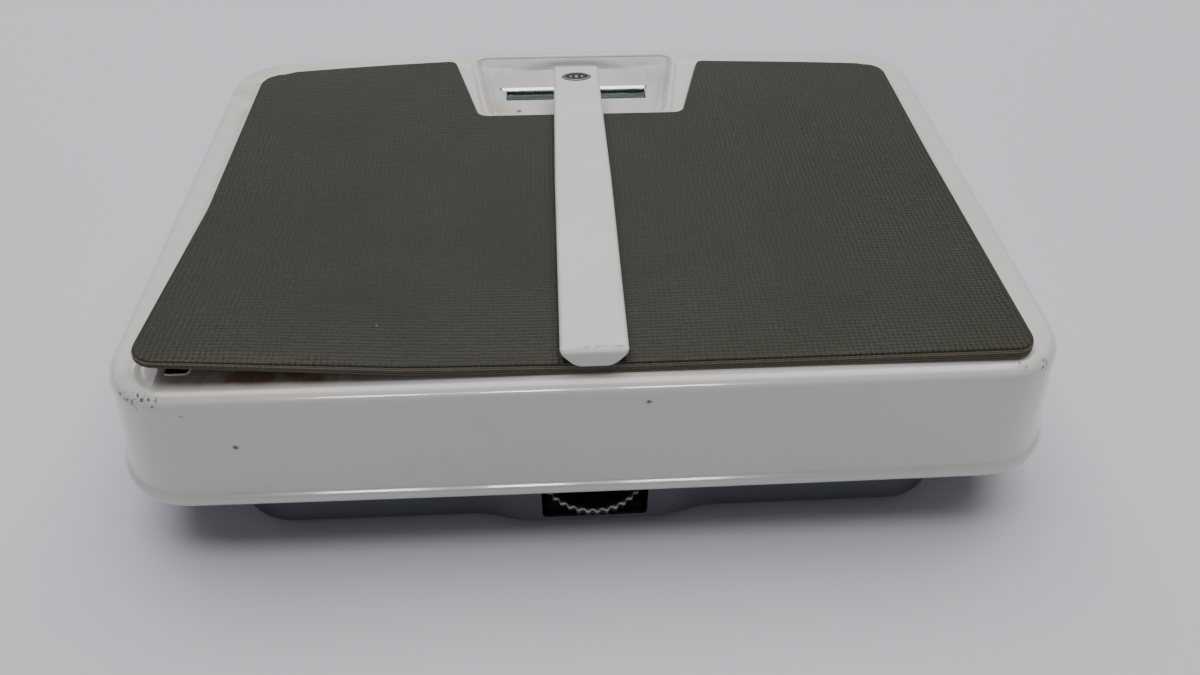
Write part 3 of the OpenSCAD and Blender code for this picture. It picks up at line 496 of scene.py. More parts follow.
class Graph:
    """A material's node tree, with short ways to add what this scene uses."""

    def __init__(self, name):
        self.material = bpy.data.materials.new(name)
        self.material.use_nodes = True
        self.tree = self.material.node_tree
        self.shader = self.tree.nodes["Principled BSDF"]
        self.place = self.add("ShaderNodeTexCoord")["Object"]

    def add(self, kind, inputs=None, **settings):
        """Adds a node, puts values or links into its inputs and gives its outputs."""
        n = self.tree.nodes.new(kind)
        for key, value in settings.items():
            setattr(n, key, value)
        for key, value in (inputs or {}).items():
            self.put(n.inputs[key], value)
        return n.outputs

    def put(self, socket, value):
        if isinstance(value, bpy.types.NodeSocket):
            self.tree.links.new(value, socket)
        elif hasattr(socket.default_value, "__len__") and not hasattr(value, "__len__"):
            socket.default_value = [value] * 3 + [1] * (len(socket.default_value) - 3)
        elif hasattr(value, "__len__") and len(value) == 3 and len(socket.default_value) == 4:
            socket.default_value = (*value, 1)
        else:
            socket.default_value = value

    def set(self, **values):
        for key, value in values.items():
            self.put(self.shader.inputs[key.replace("_", " ")], value)

    def stretched(self, scale):
        return self.add("ShaderNodeMapping", {"Vector": self.place, "Scale": scale})["Vector"]

    def noise(self, scale, detail=3, roughness=0.5, stretch=(1, 1, 1)):
        inputs = {"Vector": self.stretched(stretch), "Scale": scale, "Detail": detail, "Roughness": roughness}
        return self.add("ShaderNodeTexNoise", inputs)["Fac"]

    def cells(self, scale):
        inputs = {"Vector": self.stretched((1, 1, 1)), "Scale": scale}
        return self.add("ShaderNodeTexVoronoi", inputs)["Distance"]

    def waves(self, scale, direction, distortion):
        inputs = {"Vector": self.place, "Scale": scale, "Distortion": distortion, "Detail": 1}
        return self.add("ShaderNodeTexWave", inputs, bands_direction=direction)["Fac"]

    def between(self, value, low, high, to_low=0.0, to_high=1.0):
        inputs = {"Value": value, "From Min": low, "From Max": high, "To Min": to_low, "To Max": to_high}
        return self.add("ShaderNodeMapRange", inputs, clamp=True)["Result"]

    def cloud(self, noise_values, *limits):
        """Noise cut off between two limits, from 0 to 1 or over the range given after them."""
        return self.between(self.noise(*noise_values), *limits)

    def maths(self, operation, a, b=0.0):
        return self.add("ShaderNodeMath", {0: a, 1: b}, operation=operation)[0]

    def times(self, a, b):
        return self.maths("MULTIPLY", a, b)

    def mix(self, factor, a, b):
        return self.add("ShaderNodeMix", {0: factor, 6: a, 7: b}, data_type="RGBA")[2]

    def axis(self, name):
        return self.add("ShaderNodeSeparateXYZ", {0: self.place})[name]

    def near(self, point, radius, fade):
        """1 within radius of a point, falling to 0 over fade."""
        off = self.add("ShaderNodeVectorMath", {0: self.place, 1: point}, operation="DISTANCE")["Value"]
        return self.between(off, radius, radius + fade, 1, 0)

    def bump(self, height, distance, strength=1.0, before=None):
        inputs = {"Height": height, "Distance": distance, "Strength": strength}
        if before is not None:
            inputs["Normal"] = before
        return self.add("ShaderNodeBump", inputs)["Normal"]

    def surface(self, colour, patches, roughness, grain, depth, strength=0.5):
        """Colour, roughness that varies in patches, and a fine grain with its depth in mm."""
        self.set(Base_Color=colour, Roughness=self.cloud(patches, 0.3, 0.7, *roughness))
        self.set(Normal=self.bump(self.noise(*grain), depth * MM, strength))


def enamel():
    """White enamel with residue, stains, chips, pits and a worn foot, and painted shade under the lifted mat
    corner and inside the blind slots.
    """
    g = Graph("white_enamel")
    broad = g.cloud((9, 4), 0.35, 0.7)
    colour = g.mix(broad, (0.7, 0.69, 0.65), (0.74, 0.735, 0.7))
    grime = g.cloud((55, 5, 0.65), 0.6, 0.8, 0, 0.35)
    colour = g.mix(grime, colour, (0.62, 0.59, 0.5))
    y, z = g.axis("Y"), g.axis("Z")
    # rust-brown residue of the mat's adhesive under the lifted corner, together with painted shade there,
    # strongest under the mat's edge
    residue_and_corner_shade = g.near((-94 * MM, -88 * MM, SEAT_Z), 16 * MM, 22 * MM)
    residue_and_corner_shade = g.times(residue_and_corner_shade, g.cloud((90, 4, 0.6), 0.34, 0.55))
    residue_and_corner_shade = g.times(residue_and_corner_shade, g.between(y, -98.5 * MM, -95.5 * MM))
    residue_and_corner_shade = g.times(residue_and_corner_shade, g.between(z, SEAT_Z - 0.2 * MM, SEAT_Z))
    colour = g.mix(g.times(residue_and_corner_shade, 0.85), colour, (0.36, 0.16, 0.075))
    halo = g.near((-126 * MM, -86 * MM, SEAT_Z), 4 * MM, 14 * MM)
    halo = g.times(halo, g.cloud((150, 3), 0.4, 0.6, 0, 0.7))
    colour = g.mix(halo, colour, (0.45, 0.41, 0.3))
    stain = g.near((-138 * MM, 66 * MM, RIM_Z), 8 * MM, 40 * MM)
    stain = g.times(stain, g.cloud((60, 4), 0.42, 0.62, 0, 0.6))
    colour = g.mix(stain, colour, (0.52, 0.48, 0.31))
    # chips down to the steel, where the shell has been knocked
    chips = [(cover_lo.x + x_in * MM, y_in, r) for x_in, y_in, r in LEFT_CHIPS]
    chips += [(cover_hi.x - x_in * MM, y_in, r) for x_in, y_in, r in RIGHT_CHIPS]
    chips_and_pocket_shade = 0.0
    for chip_x, y_in, r in chips:
        here = g.near((chip_x, cover_lo.y + y_in * MM, RIM_Z - 1.6 * MM), r * MM, 1.6 * MM)
        chips_and_pocket_shade = g.maths("MAXIMUM", chips_and_pocket_shade, here)
    torn = g.cloud((620, 3, 0.6), 0.54, 0.6)
    chips_and_pocket_shade = g.times(chips_and_pocket_shade, torn)
    for pit_x, up in PITS:
        pit = g.near((pit_x * MM, SHOULDER_FRONT_Y - 0.6 * MM, SKIRT_Z + up * MM), 0.6 * MM, 0.6 * MM)
        chips_and_pocket_shade = g.maths("MAXIMUM", chips_and_pocket_shade, pit)
    rim_wear = g.between(z, SKIRT_Z + 0.3 * MM, SKIRT_Z + 0.9 * MM, 1, 0)
    rim_wear = g.times(rim_wear, g.cloud((110, 4, 0.7), 0.42, 0.58, 0.25, 0.9))
    chips_and_pocket_shade = g.maths("MAXIMUM", chips_and_pocket_shade, rim_wear)
    # painted shade: the blind slot pockets turn near black below the seat, standing in for the dark of a deep
    # hole
    left_slot, right_slot = [
        g.near((side * COVER_SLOT.x, COVER_SLOT.y, SEAT_Z), 6 * MM, 1 * MM) for side in (-1, 1)
    ]
    below = g.between(z, SEAT_Z - 0.2 * MM, SEAT_Z - 0.02 * MM, 1, 0)
    slot_pocket_shade = g.times(below, g.maths("MAXIMUM", left_slot, right_slot))
    chips_and_pocket_shade = g.maths("MAXIMUM", chips_and_pocket_shade, slot_pocket_shade)
    # chips, pits and the worn foot show dark steel; the slot pockets take the same dark colour as painted
    # shade
    colour = g.mix(chips_and_pocket_shade, colour, (0.06, 0.05, 0.042))
    g.set(Base_Color=colour, Roughness=g.cloud((38, 4), 0.3, 0.75, 0.12, 0.2))
    g.set(Coat_Weight=0.6, Coat_Roughness=0.04, Specular_IOR_Level=0.5)
    skin = g.bump(g.noise(60, 2), 0.12 * MM, 0.3)
    g.set(Normal=g.bump(g.maths("SUBTRACT", 1.0, chips_and_pocket_shade), 0.15 * MM, 0.6, skin))
    return g.material


def bar_paint():
    """White paint with specks, long streaks and a scuffed fold at the nose."""
    g = Graph("bar_white")
    worn = g.cloud((26, 5, 0.6), 0.42, 0.7)
    colour = g.mix(worn, (0.73, 0.725, 0.69), (0.78, 0.775, 0.75))
    specks = g.between(g.cells(240), 0.05, 0.1, 1, 0)
    specks = g.times(specks, g.cloud((60, 2), 0.6, 0.66))
    colour = g.mix(specks, colour, (0.3, 0.28, 0.24))
    streak = g.cloud((90, 3, 0.5, (1, 0.12, 1)), 0.6, 0.75, 0, 0.35)
    colour = g.mix(streak, colour, (0.64, 0.62, 0.57))
    # scuffed fold where the nose turns down
    fold = g.between(g.maths("ABSOLUTE", g.maths("SUBTRACT", g.axis("Y"), bar_lo.y + 1.9 * MM)),
                     0.25 * MM, 0.6 * MM, 1, 0)
    fold = g.times(fold, g.cloud((320, 4, 0.65), 0.48, 0.58, 0, 0.85))
    fold = g.times(fold, g.between(g.axis("Z"), bar_hi.z - 1.6 * MM, bar_hi.z - 1.2 * MM))
    colour = g.mix(fold, colour, (0.35, 0.33, 0.28))
    g.surface(colour, (50, 3), (0.3, 0.46), (130, 3), 0.2)
    return g.material


# the wave node's pattern repeats about 3.2 times in one unit of its scale
WAVE_UNIT = 3.2
ROW_PITCH = 1.4 * MM
COLUMN_PITCH = 1.7 * MM


def vinyl(name, dark, light, roughness):
    """Leather-grained sheet with a fine woven pattern pressed into it."""
    g = Graph(name)
    broad = g.cloud((7, 4), 0.35, 0.7)
    colour = g.mix(broad, dark, light)
    near_end = g.between(g.axis("Y"), -20 * MM, mat_lo.y, 0, 0.8)
    colour = g.mix(near_end, colour, (1.02 * light[0], 0.9 * light[1], 0.72 * light[2]))
    fine = g.cloud((600, 3, 0.6), 0.3, 0.75, 0, 0.35)
    colour = g.mix(fine, colour, tuple(0.6 * c for c in dark))
    dust = g.between(g.cells(150), 0.02, 0.045, 1, 0)
    dust = g.times(dust, g.cloud((33, 2), 0.66, 0.69, 0, 0.4))
    colour = g.mix(dust, colour, (0.3, 0.3, 0.26))
    speck = g.near(SPECK, 0.8 * MM, 0.4 * MM)
    colour = g.mix(speck, colour, (0.7, 0.7, 0.66))
    g.set(Base_Color=colour, Roughness=g.cloud((24, 4), 0.3, 0.7, *roughness))
    g.set(Specular_IOR_Level=0.32)
    grain = g.bump(g.noise(640, 4, 0.65, (0.5, 1, 1)), 0.3 * MM, 0.8)
    rows = g.waves(1 / (WAVE_UNIT * ROW_PITCH), "Y", 1.2)
    columns = g.waves(1 / (WAVE_UNIT * COLUMN_PITCH), "X", 2.2)
    woven = g.times(g.times(rows, columns), g.noise(260, 3, 0.6, (0.5, 1, 1)))
    weave = g.bump(woven, 0.3 * MM, 1.0, grain)
    g.set(Normal=g.bump(g.noise(60, 3), 0.5 * MM, 0.25, weave))
    return g.material


def scoop_enamel():
    """White enamel with painted shade on the window's rear wall, in its crescent valley and in the folds of
    its sides, and brown in its corners.
    """
    g = Graph("window_grey")
    x, y = g.axis("X"), g.axis("Y")
    streaks = g.cloud((55, 4, 0.6, (1, 0.35, 0.2)), 0.38, 0.7)
    colour = g.mix(streaks, (0.6, 0.59, 0.55), (0.69, 0.68, 0.65))
    # painted shade: the rear wall darkened towards the far rim, where it faces away from the light
    rear = g.between(y, WINDOW_FAR_Y - 3.5 * MM, WINDOW_FAR_Y - 0.6 * MM, 0, 0.55)
    colour = g.mix(rear, colour, (0.4, 0.39, 0.375))
    # painted shade: a dark band along the crescent valley behind the slot, fading towards its ends
    across = g.maths("DIVIDE", x, CRESCENT_HALF_W)
    square = g.maths("MINIMUM", g.times(across, across), 1.0)
    bend = g.maths("SUBTRACT", WINDOW_FAR_Y - CRESCENT_IN, g.times(square, CRESCENT_DEPTH))
    off = g.maths("ABSOLUTE", g.maths("SUBTRACT", y, bend))
    crescent_shade = g.between(off, 0.3 * MM, 2.4 * MM, 1, 0)
    crescent_shade = g.times(crescent_shade, g.between(square, 0.08, 0.9, 0.85, 0))
    colour = g.mix(crescent_shade, colour, (0.17, 0.155, 0.16))
    # painted shade: dark stripes in the folds of the side walls
    side = g.between(g.maths("ABSOLUTE", x), 30 * MM, 35 * MM)
    side_fold_shade = g.times(side, g.cloud((190, 3, 0.6, (1, 0.08, 0.1)), 0.4, 0.62, 0, 0.5))
    colour = g.mix(side_fold_shade, colour, (0.4, 0.385, 0.34))
    corner = g.near((-33.5 * MM, 58.5 * MM, FLOOR_Z), 2 * MM, 9 * MM)
    corner = g.times(corner, g.cloud((130, 3), 0.35, 0.6, 0.3, 0.9))
    colour = g.mix(corner, colour, (0.5, 0.45, 0.33))
    spot = g.near((-24.5 * MM, 58.5 * MM, FLOOR_Z), 0.6 * MM, 0.8 * MM)
    colour = g.mix(spot, colour, (0.12, 0.1, 0.09))
    g.surface(colour, (60, 3), (0.18, 0.32), (60, 3), 0.3, 0.4)
    g.set(Coat_Weight=0.3, Coat_Roughness=0.08)
    return g.material


def slate_paint():
    """Slate-blue paint, with painted shade: black inside round the wheel, where the inside shows through the
    opening.
    """
    g = Graph("slate_paint")
    broad = g.cloud((14, 4), 0.35, 0.7)
    colour = g.mix(broad, (0.032, 0.039, 0.048), (0.043, 0.051, 0.061))
    dust = g.cloud((90, 5, 0.7), 0.6, 0.85, 0, 0.35)
    colour = g.mix(dust, colour, (0.14, 0.145, 0.15))
    # painted shade: the pan's inside round the wheel turns black, standing in for the dark seen through the
    # opening
    opening_shade = g.near((wheel_centre.x, wheel_centre.y + 8 * MM, pan_lo.z), 34 * MM, 30 * MM)
    out_x = g.maths("ABSOLUTE", g.axis("X"))
    wall_y = g.between(out_x, BULGE_HALF_W - 1 * MM, BULGE_HALF_W + BULGE_RUN, pan_lo.y, PAN_FRONT_Y)
    depth = g.maths("SUBTRACT", g.axis("Y"), wall_y)
    opening_shade = g.times(opening_shade, g.between(depth, 0.75 * MM, 1.05 * MM))
    opening_shade = g.times(opening_shade, g.between(g.axis("Z"), pan_lo.z + 0.5 * MM, pan_lo.z + 0.9 * MM))
    colour = g.mix(opening_shade, colour, (0.008, 0.008, 0.009))
    g.surface(colour, (40, 4), (0.3, 0.45), (230, 3), 0.12)
    g.set(Coat_Weight=0.2, Coat_Roughness=0.2)
    return g.material


def steel(name, colour, roughness, stain=0.25):
    """Brushed steel with dull patches and rust spots."""
    g = Graph(name)
    broad = g.cloud((35, 4, 0.6), 0.35, 0.75)
    darker = tuple(c * 0.72 for c in colour)
    tone = g.mix(broad, colour, darker)
    spots = g.cloud((160, 5, 0.7), 0.62, 0.8, 0, stain)
    tone = g.mix(spots, tone, (0.2, 0.12, 0.07))
    g.surface(tone, (90, 4), roughness, (300, 3), 0.08)
    g.set(Metallic=g.between(spots, 0, 1, 1, 0.4))
    return g.material


def plastic(name, colour, roughness=(0.4, 0.55), grain=0.1):
    """Plain moulded plastic or rubber with a little dust."""
    g = Graph(name)
    tone = g.mix(g.cloud((60, 4), 0.3, 0.7), colour, tuple(c * 0.78 for c in colour))
    dust = g.cloud((120, 5, 0.7), 0.58, 0.85, 0, 0.25)
    tone = g.mix(dust, tone, (0.3, 0.29, 0.27))
    g.surface(tone, (80, 3), roughness, (420, 3), grain)
    return g.material


def wheel_plastic(centre, r):
    """Black wheel whose scallops are pale along their upper edge, partly wear and partly a painted highlight.
    """
    g = Graph("wheel_black")
    tone = g.mix(g.cloud((90, 4), 0.3, 0.7), (0.012, 0.012, 0.013), (0.03, 0.03, 0.03))
    x = g.maths("SUBTRACT", g.axis("X"), centre.x)
    y = g.maths("SUBTRACT", g.axis("Y"), centre.y)
    square = g.maths("ADD", g.times(x, x), g.times(y, y))
    out = g.maths("SQRT", square)
    # pale upper edge of the scallops: wear together with a painted highlight on the teeth's tips
    worn = g.between(out, r - 1.5 * MM, r - 1.1 * MM)
    rim_top = wheel_lo.z + 3 * MM
    worn = g.times(worn, g.between(g.axis("Z"), rim_top - 0.85 * MM, rim_top - 0.4 * MM))
    worn = g.times(worn, g.between(g.axis("Z"), rim_top - 0.02 * MM, rim_top, 1, 0.25))
    worn = g.times(worn, g.cloud((700, 3, 0.6), 0.3, 0.55, 0.5, 1))
    tone = g.mix(worn, tone, (0.78, 0.77, 0.74))
    g.surface(tone, (200, 3), (0.3, 0.5), (500, 3), 0.06)
    return g.material


def glass():
    """Greenish glass with smears."""
    g = Graph("lens_clear")
    smear = g.cloud((60, 4, 0.6), 0.4, 0.8)
    g.set(Base_Color=g.mix(smear, (0.52, 0.72, 0.7), (0.6, 0.76, 0.74)))
    g.set(Roughness=g.between(smear, 0, 1, 0.03, 0.12))
    g.set(Transmission_Weight=1.0, IOR=1.49)
    return g.material


def paint(name, colour, roughness=(0.35, 0.5)):
    """Even paint, a little mottled."""
    g = Graph(name)
    tone = g.mix(g.cloud((110, 4), 0.35, 0.7), colour, tuple(c * 0.85 for c in colour))
    g.surface(tone, (60, 3), roughness, (260, 2), 0.05, 0.4)
    return g.material


wheel_centre = (wheel_lo + wheel_hi) / 2
MATS = {
    "white_enamel": enamel(),
    "bar_white": bar_paint(),
    "mat_vinyl": vinyl("mat_vinyl", (0.0205, 0.02, 0.0102), (0.026, 0.0268, 0.0155), (0.36, 0.5)),
    "mat_backing": vinyl("mat_backing", (0.085, 0.08, 0.062), (0.12, 0.112, 0.09), (0.55, 0.7)),
    "window_grey": scoop_enamel(),
    "lens_clear": glass(),
    "pointer_red": paint("pointer_red", (0.5, 0.03, 0.02)),
    "badge_dark": plastic("badge_dark", (0.014, 0.015, 0.02), (0.3, 0.42), 0.05),
    "slate_paint": slate_paint(),
    "foot_rubber": plastic("foot_rubber", (0.022, 0.021, 0.02), (0.6, 0.8), 0.2),
    "zinc_steel": steel("zinc_steel", (0.5, 0.5, 0.48), (0.3, 0.5)),
    "lever_steel": steel("lever_steel", (0.3, 0.32, 0.35), (0.35, 0.55)),
    "spring_steel": steel("spring_steel", (0.2, 0.2, 0.21), (0.25, 0.4), 0.1),
    "clip_steel": steel("clip_steel", (0.1, 0.1, 0.1), (0.3, 0.45), 0.1),
    "brass": steel("brass", (0.62, 0.43, 0.16), (0.28, 0.42), 0.12),
    "guide_plastic": plastic("guide_plastic", (0.62, 0.61, 0.56), (0.4, 0.55), 0.05),
    "wheel_black": wheel_plastic(wheel_centre, (wheel_hi.x - wheel_lo.x) / 2),
    "dial_face": paint("dial_face", (0.72, 0.7, 0.63)),
}
bright_edge = steel("bright_edge", (0.86, 0.9, 0.89), (0.2, 0.34), 0.1)
badge_pale = paint("badge_pale", (0.4, 0.41, 0.43), (0.25, 0.4))
ink = paint("dial_ink", (0.02, 0.02, 0.025), (0.45, 0.6))


# --- Cover ---

def seat_height(x, y, seat, window):
    """Height of the pressed top: a soft step down to the seat, and a raised lip round the window."""
    inside = -signed_distance(x, y, seat)
    z = RIM_Z - (RIM_Z - SEAT_Z) * smooth(-0.9 * MM, 1.1 * MM, inside)
    off = signed_distance(x, y, window)
    lip = 1 - smooth(1.6 * MM, 3.0 * MM, off)
    z = z + (RIM_Z - 0.05 * MM - z) * lip
    return z - 0.9 * MM * (1 - smooth(-0.1 * MM, 0.9 * MM, off)) ** 2


def cover_side():
    """Rings of the outer skin, from inside the rolled bead up to the edge of the flat top."""
    bead = [
        (-1.0, 1.6), (0.5, 0.45), (1.25, 0), (1.75, 0.35), (1.97, 1.1), (2.0, 1.9), (1.86, 2.7),
        (1.5, 3.4), (0.95, 3.95), (0.42, 4.3), (0.14, 4.8), (0, 5.6), (0, 8),
    ]
    foot_z = SKIRT_Z + 4.4 * MM
    wall_z = SKIRT_Z + 8 * MM
    turn_z = RIM_Z - SHOULDER_R
    rings = []
    for out, up in bead:
        z = SKIRT_Z + up * MM
        lean = min(1.0, (turn_z - z) / (turn_z - foot_z))
        rings.append(at_height(cover_outline(lean, out * MM), z))
    for k in range(1, 5):
        z = wall_z + (turn_z - wall_z) * k / 5
        rings.append(at_height(cover_outline((turn_z - z) / (turn_z - foot_z), 0), z))
    steps = 10
    for k in range(steps + 1):
        a = math.pi / 2 * k / steps
        outline = cover_outline(0, -SHOULDER_R * (1 - math.cos(a)))
        rings.append(at_height(outline, turn_z + SHOULDER_R * math.sin(a)))
    return rings


def slot_hole(side):
    """Outline of the blind slot beside one of the mat's front corners."""
    x, y = side * COVER_SLOT.x, COVER_SLOT.y
    half_w, half_d = 3.5 * MM, 1.5 * MM
    return rectangle(x - half_w, y - half_d, x + half_w, y + half_d, 1.2 * MM, 4)


def cover_top(outer, seat, window, slots):
    """Pressed top with the mat's seat, the lip round the window and holes for the slots."""
    loops = [outer]
    loops += [grown(seat, d * MM) for d in (1.4, 0.8, 0.3, -0.2, -0.7, -1.2, -2.0)]
    loops += [window_outline(d * MM) for d in (4.0, 3.0, 2.4, 1.8, 1.2, 0.8, 0.5, 0.25, 0)]
    loops += slots
    loops += [grown(slot, 1.2 * MM) for slot in slots]
    flat, faces = fill(loops, grown(outer, 0.05 * MM), holes=[window] + slots)
    top = []
    for x, y in flat:
        at_edge = signed_distance(x, y, outer) > -0.05 * MM
        top.append((x, y, RIM_Z if at_edge else seat_height(x, y, seat, window)))
    return top, faces


def slot_cup(slot, seat, window):
    """Blind pocket under a slot."""
    deep = grown(slot, -0.3 * MM)
    levels = [(slot, seat_height(*slot[0], seat, window)), (slot, SEAT_Z - 0.6 * MM), (deep, SEAT_Z - 3 * MM)]
    return loft([at_height(ring[::-1], z) for ring, z in levels], False, True)


def cover_shell():
    """The stamped cover: side, pressed top and the blind slots, as one sheet."""
    rings = cover_side()
    outer = in_plan(rings[-1])
    seat = bowed(
        mat_hi.x + 1.8 * MM, mat_lo.y - 3.2 * MM, SEAT_REAR_Y, STRAIGHT_BOW_R, SEAT_BOW_R, 12 * MM, 9 * MM)
    window = window_outline(0)
    slots = [slot_hole(side) for side in (-1, 1)]
    parts = [loft(rings, False, False), cover_top(outer, seat, window, slots)]
    parts += [slot_cup(slot, seat, window) for slot in slots]
    obj = weld(edit(make_object("cover_shell", *merged(parts)), drop_loose))
    thicken(obj, SHEET)
    return finish_piece(obj, "platform", "white_enamel", ["platform_cover"])


cover_shell()


# --- Mat ---

LIFT_LEFT = 6.6 * MM
SQUEEZE = 0.22
LIFT_RIGHT = 1.0 * MM
RIB_PITCH = 2 * MM
WELT_TOP = mat_hi.z - 0.8 * MM
RIB_DEPTH = 0.025 * MM


def lift(x, y):
    """How far the mat stands off its seat: a curled front-left corner and a slack front-right one."""
    across = smooth(12 * MM, 137 * MM, -x)
    along = max(0.0, min(1.0, (-14 * MM - y) / (78 * MM)))
    left = across ** 1.1 * along * (0.6 + 0.4 * smooth(0, 0.4, along))
    right = smooth(50 * MM, 140 * MM, x) * smooth(55 * MM, 100 * MM, -y)
    return LIFT_LEFT * left + LIFT_RIGHT * right


def lifted(name, parts):
    """The piece bent up with the mat, its lower layers a little more than its face."""
    def change(bm):
        drop_loose(bm)
        for v in bm.verts:
            depth = (mat_hi.z - v.co.z) / (mat_hi.z - back_lo.z)
            v.co.z += lift(v.co.x, v.co.y) * (1 + SQUEEZE * depth)
    return weld(edit(make_object(name, *parts), change))


def sheet_layer(name, outline, edge, ribs):
    """Sheet from an outline and its edge's (inset, height) steps, with a ribbed face."""
    rings = []
    for inset, z in edge:
        rings.append(at_height(grown(outline, -inset * MM), z))
    side = loft(rings, False, False)
    last_outer = in_plan(rings[-1])
    first_outer = in_plan(rings[0])
    fine, coarse = [], []
    for row, y in enumerate(spaced(mat_lo.y + 3 * MM, mat_hi.y + 2 * MM, RIB_PITCH / 2)):
        for x in spaced(-mat_hi.x + 3 * MM, mat_hi.x - 2 * MM, 6 * MM):
            if signed_distance(x, y, last_outer) < -2 * MM:
                fine.append((x, y))
                if row % 6 == 0:
                    coarse.append((x, y))
    flat, faces = fill([last_outer], last_outer, fine if ribs else coarse)
    top = []
    for x, y in flat:
        z = edge[-1][1]
        if ribs and signed_distance(x, y, last_outer) < -1.9 * MM:
            phase = round((y - mat_lo.y - 3 * MM) / (RIB_PITCH / 2)) % 2
            z -= RIB_DEPTH * phase * (0.6 + noise.noise(Vector((x * 55, y * 90, 0.4))))
        top.append((x, y, z))
    low_flat, low_faces = fill([first_outer], first_outer, coarse)
    low = [(x, y, edge[0][1]) for x, y in low_flat]
    return lifted(name, merged([side, (top, faces), (low, [f[::-1] for f in low_faces])]))


def mat_top(outline):
    """Ribbed face of the mat."""
    base, top = mat_lo.z, mat_hi.z
    sheet = [
        (1.8, base), (1.8, WELT_TOP), (0.8, WELT_TOP), (0.55, WELT_TOP + 0.12 * MM),
        (0.5, top - 0.38 * MM), (0.6, top - 0.16 * MM), (0.8, top - 0.03 * MM), (1.2, top),
    ]
    piece = sheet_layer("mat_top", outline, sheet, True)
    finish_piece(piece, "platform", "mat_vinyl", ["platform_mat"])


def mat_welt(outline):
    """Strip between the mat's face and its backing, pale partly from wear and partly as a painted highlight
    along the mat's edge.
    """
    low, high = mat_lo.z + 0.04 * MM, WELT_TOP - 0.12 * MM
    groove = (low + high) / 2
    welt = [
        (1.75, low), (0.4, low), (0.12, low + 0.12 * MM), (0.04, groove - 0.2 * MM),
        (0.2, groove - 0.08 * MM), (0.9, groove), (0.45, groove + 0.08 * MM), (0.3, groove + 0.2 * MM),
        (0.3, high - 0.2 * MM), (0.5, high), (1.75, high), (1.75, low),
    ]
    rings = [at_height(grown(outline, -inset * MM), z) for inset, z in welt]
    strip = lifted("mat_welt", loft(rings, False, False))
    # the strip's pale colour is partly worn vinyl and partly a painted highlight, lightened so it shows on
    # the shaded front edge
    material = vinyl("mat_welt", (0.14, 0.132, 0.105), (0.2, 0.19, 0.155), (0.5, 0.65))
    finish_piece(strip, "platform", "mat_backing", material=material)


def mat_back(outline):
    """Backing with a groove round its edge."""
    low, high = back_lo.z, back_hi.z
    middle = (low + high) / 2
    under = [
        (1.2, low), (0.4, low + 0.03 * MM), (0, low + 0.3 * MM), (-0.1, middle - 0.25 * MM),
        (0.1, middle - 0.08 * MM), (0.9, middle), (0.3, middle + 0.08 * MM), (0.05, middle + 0.25 * MM),
        (0.02, high - 0.35 * MM), (0.4, high - 0.06 * MM), (1.4, high - 0.02 * MM),
    ]
    back = sheet_layer("mat_back", outline, under, False)
    finish_piece(back, "platform", "mat_backing", ["mat_backing"])


def mat_pieces():
    """Three layers, each standing out a little further than the one above."""
    outline = mat_outline()
    mat_top(outline)
    mat_welt(outline)
    mat_back(outline)


mat_pieces()


# --- Dial window ---

def scoop_height(x, y, rim, slot):
    """Height of the dished window: how far each wall still stands above its floor, blended."""
    deep = RIM_Z - 0.75 * MM - FLOOR_Z
    along = (y - WINDOW_NEAR_Y) / (WINDOW_FAR_Y - WINDOW_NEAR_Y)
    half = WINDOW_NEAR_HALF + (WINDOW_FAR_HALF - WINDOW_NEAR_HALF) * along
    side = max(0.0, half - abs(x))
    wall = max(0.0, 1 - side / (6.5 * MM))
    fold = 0.10 * math.sin(side / MM * 2.1) * smooth(0, 1.5 * MM, side) * smooth(7 * MM, 4.5 * MM, side)
    wall = wall ** 1.7 + fold * smooth(WINDOW_NEAR_Y, WINDOW_NEAR_Y + 9 * MM, y)
    near = max(0.0, 1 - (y - WINDOW_NEAR_Y) / (4.5 * MM)) ** 2
    bend = WINDOW_FAR_Y - CRESCENT_IN - CRESCENT_DEPTH * min(1.6, (x / CRESCENT_HALF_W) ** 2)
    back = smooth(bend, WINDOW_FAR_Y, y)
    rise = 0.3 * smooth(SLOT_HI.y + 1 * MM, bend, y)
    valley = math.exp(-((y - bend) / (1.3 * MM)) ** 2) * max(0.0, 1 - (x / (32 * MM)) ** 2)
    up = (wall ** 3 + near ** 3 + max(back, rise) ** 3) ** (1 / 3) if wall > 0 else max(near, back, rise)
    z = FLOOR_Z + deep * min(1.0, up) - 0.55 * MM * valley
    off = signed_distance(x, y, slot)
    z -= 0.5 * MM * (1 - smooth(-0.2 * MM, 0.9 * MM, off))
    edge = -signed_distance(x, y, rim)
    return max(z, FLOOR_Z + deep * (1 - smooth(0, 0.5 * MM, edge))) if edge < 0.5 * MM else z


def window_scoop():
    """The dished window: steep folded sides, a low crescent valley behind and the slot in its floor."""
    rim = window_outline(-0.15 * MM)
    slot = slot_outline(0)
    loops = [rim] + [window_outline(d * MM) for d in (-0.6, -1.1, -1.7, -2.4, -3.3)]
    loops += [slot_outline(0.9 * MM), slot_outline(0.45 * MM), slot]
    grid = []
    step = 1.25 * MM
    for y in spaced(WINDOW_NEAR_Y + 1.5 * MM, WINDOW_FAR_Y - 1.2 * MM, step):
        for x in spaced(-WINDOW_FAR_HALF + 1 * MM, WINDOW_FAR_HALF, step):
            if signed_distance(x, y, rim) < -0.8 * MM and signed_distance(x, y, slot) > 1.1 * MM:
                grid.append((x, y))
    flat, faces = fill(loops, grown(rim, 0.02 * MM), grid, [slot])
    verts = [(x, y, scoop_height(x, y, rim, slot)) for x, y in flat]
    obj = edit(weld(make_object("window_scoop", verts, faces)), drop_loose)
    face_up(obj)
    thicken(obj, SCOOP_SHEET)
    finish_piece(obj, "platform", "window_grey", ["dial_bezel"])


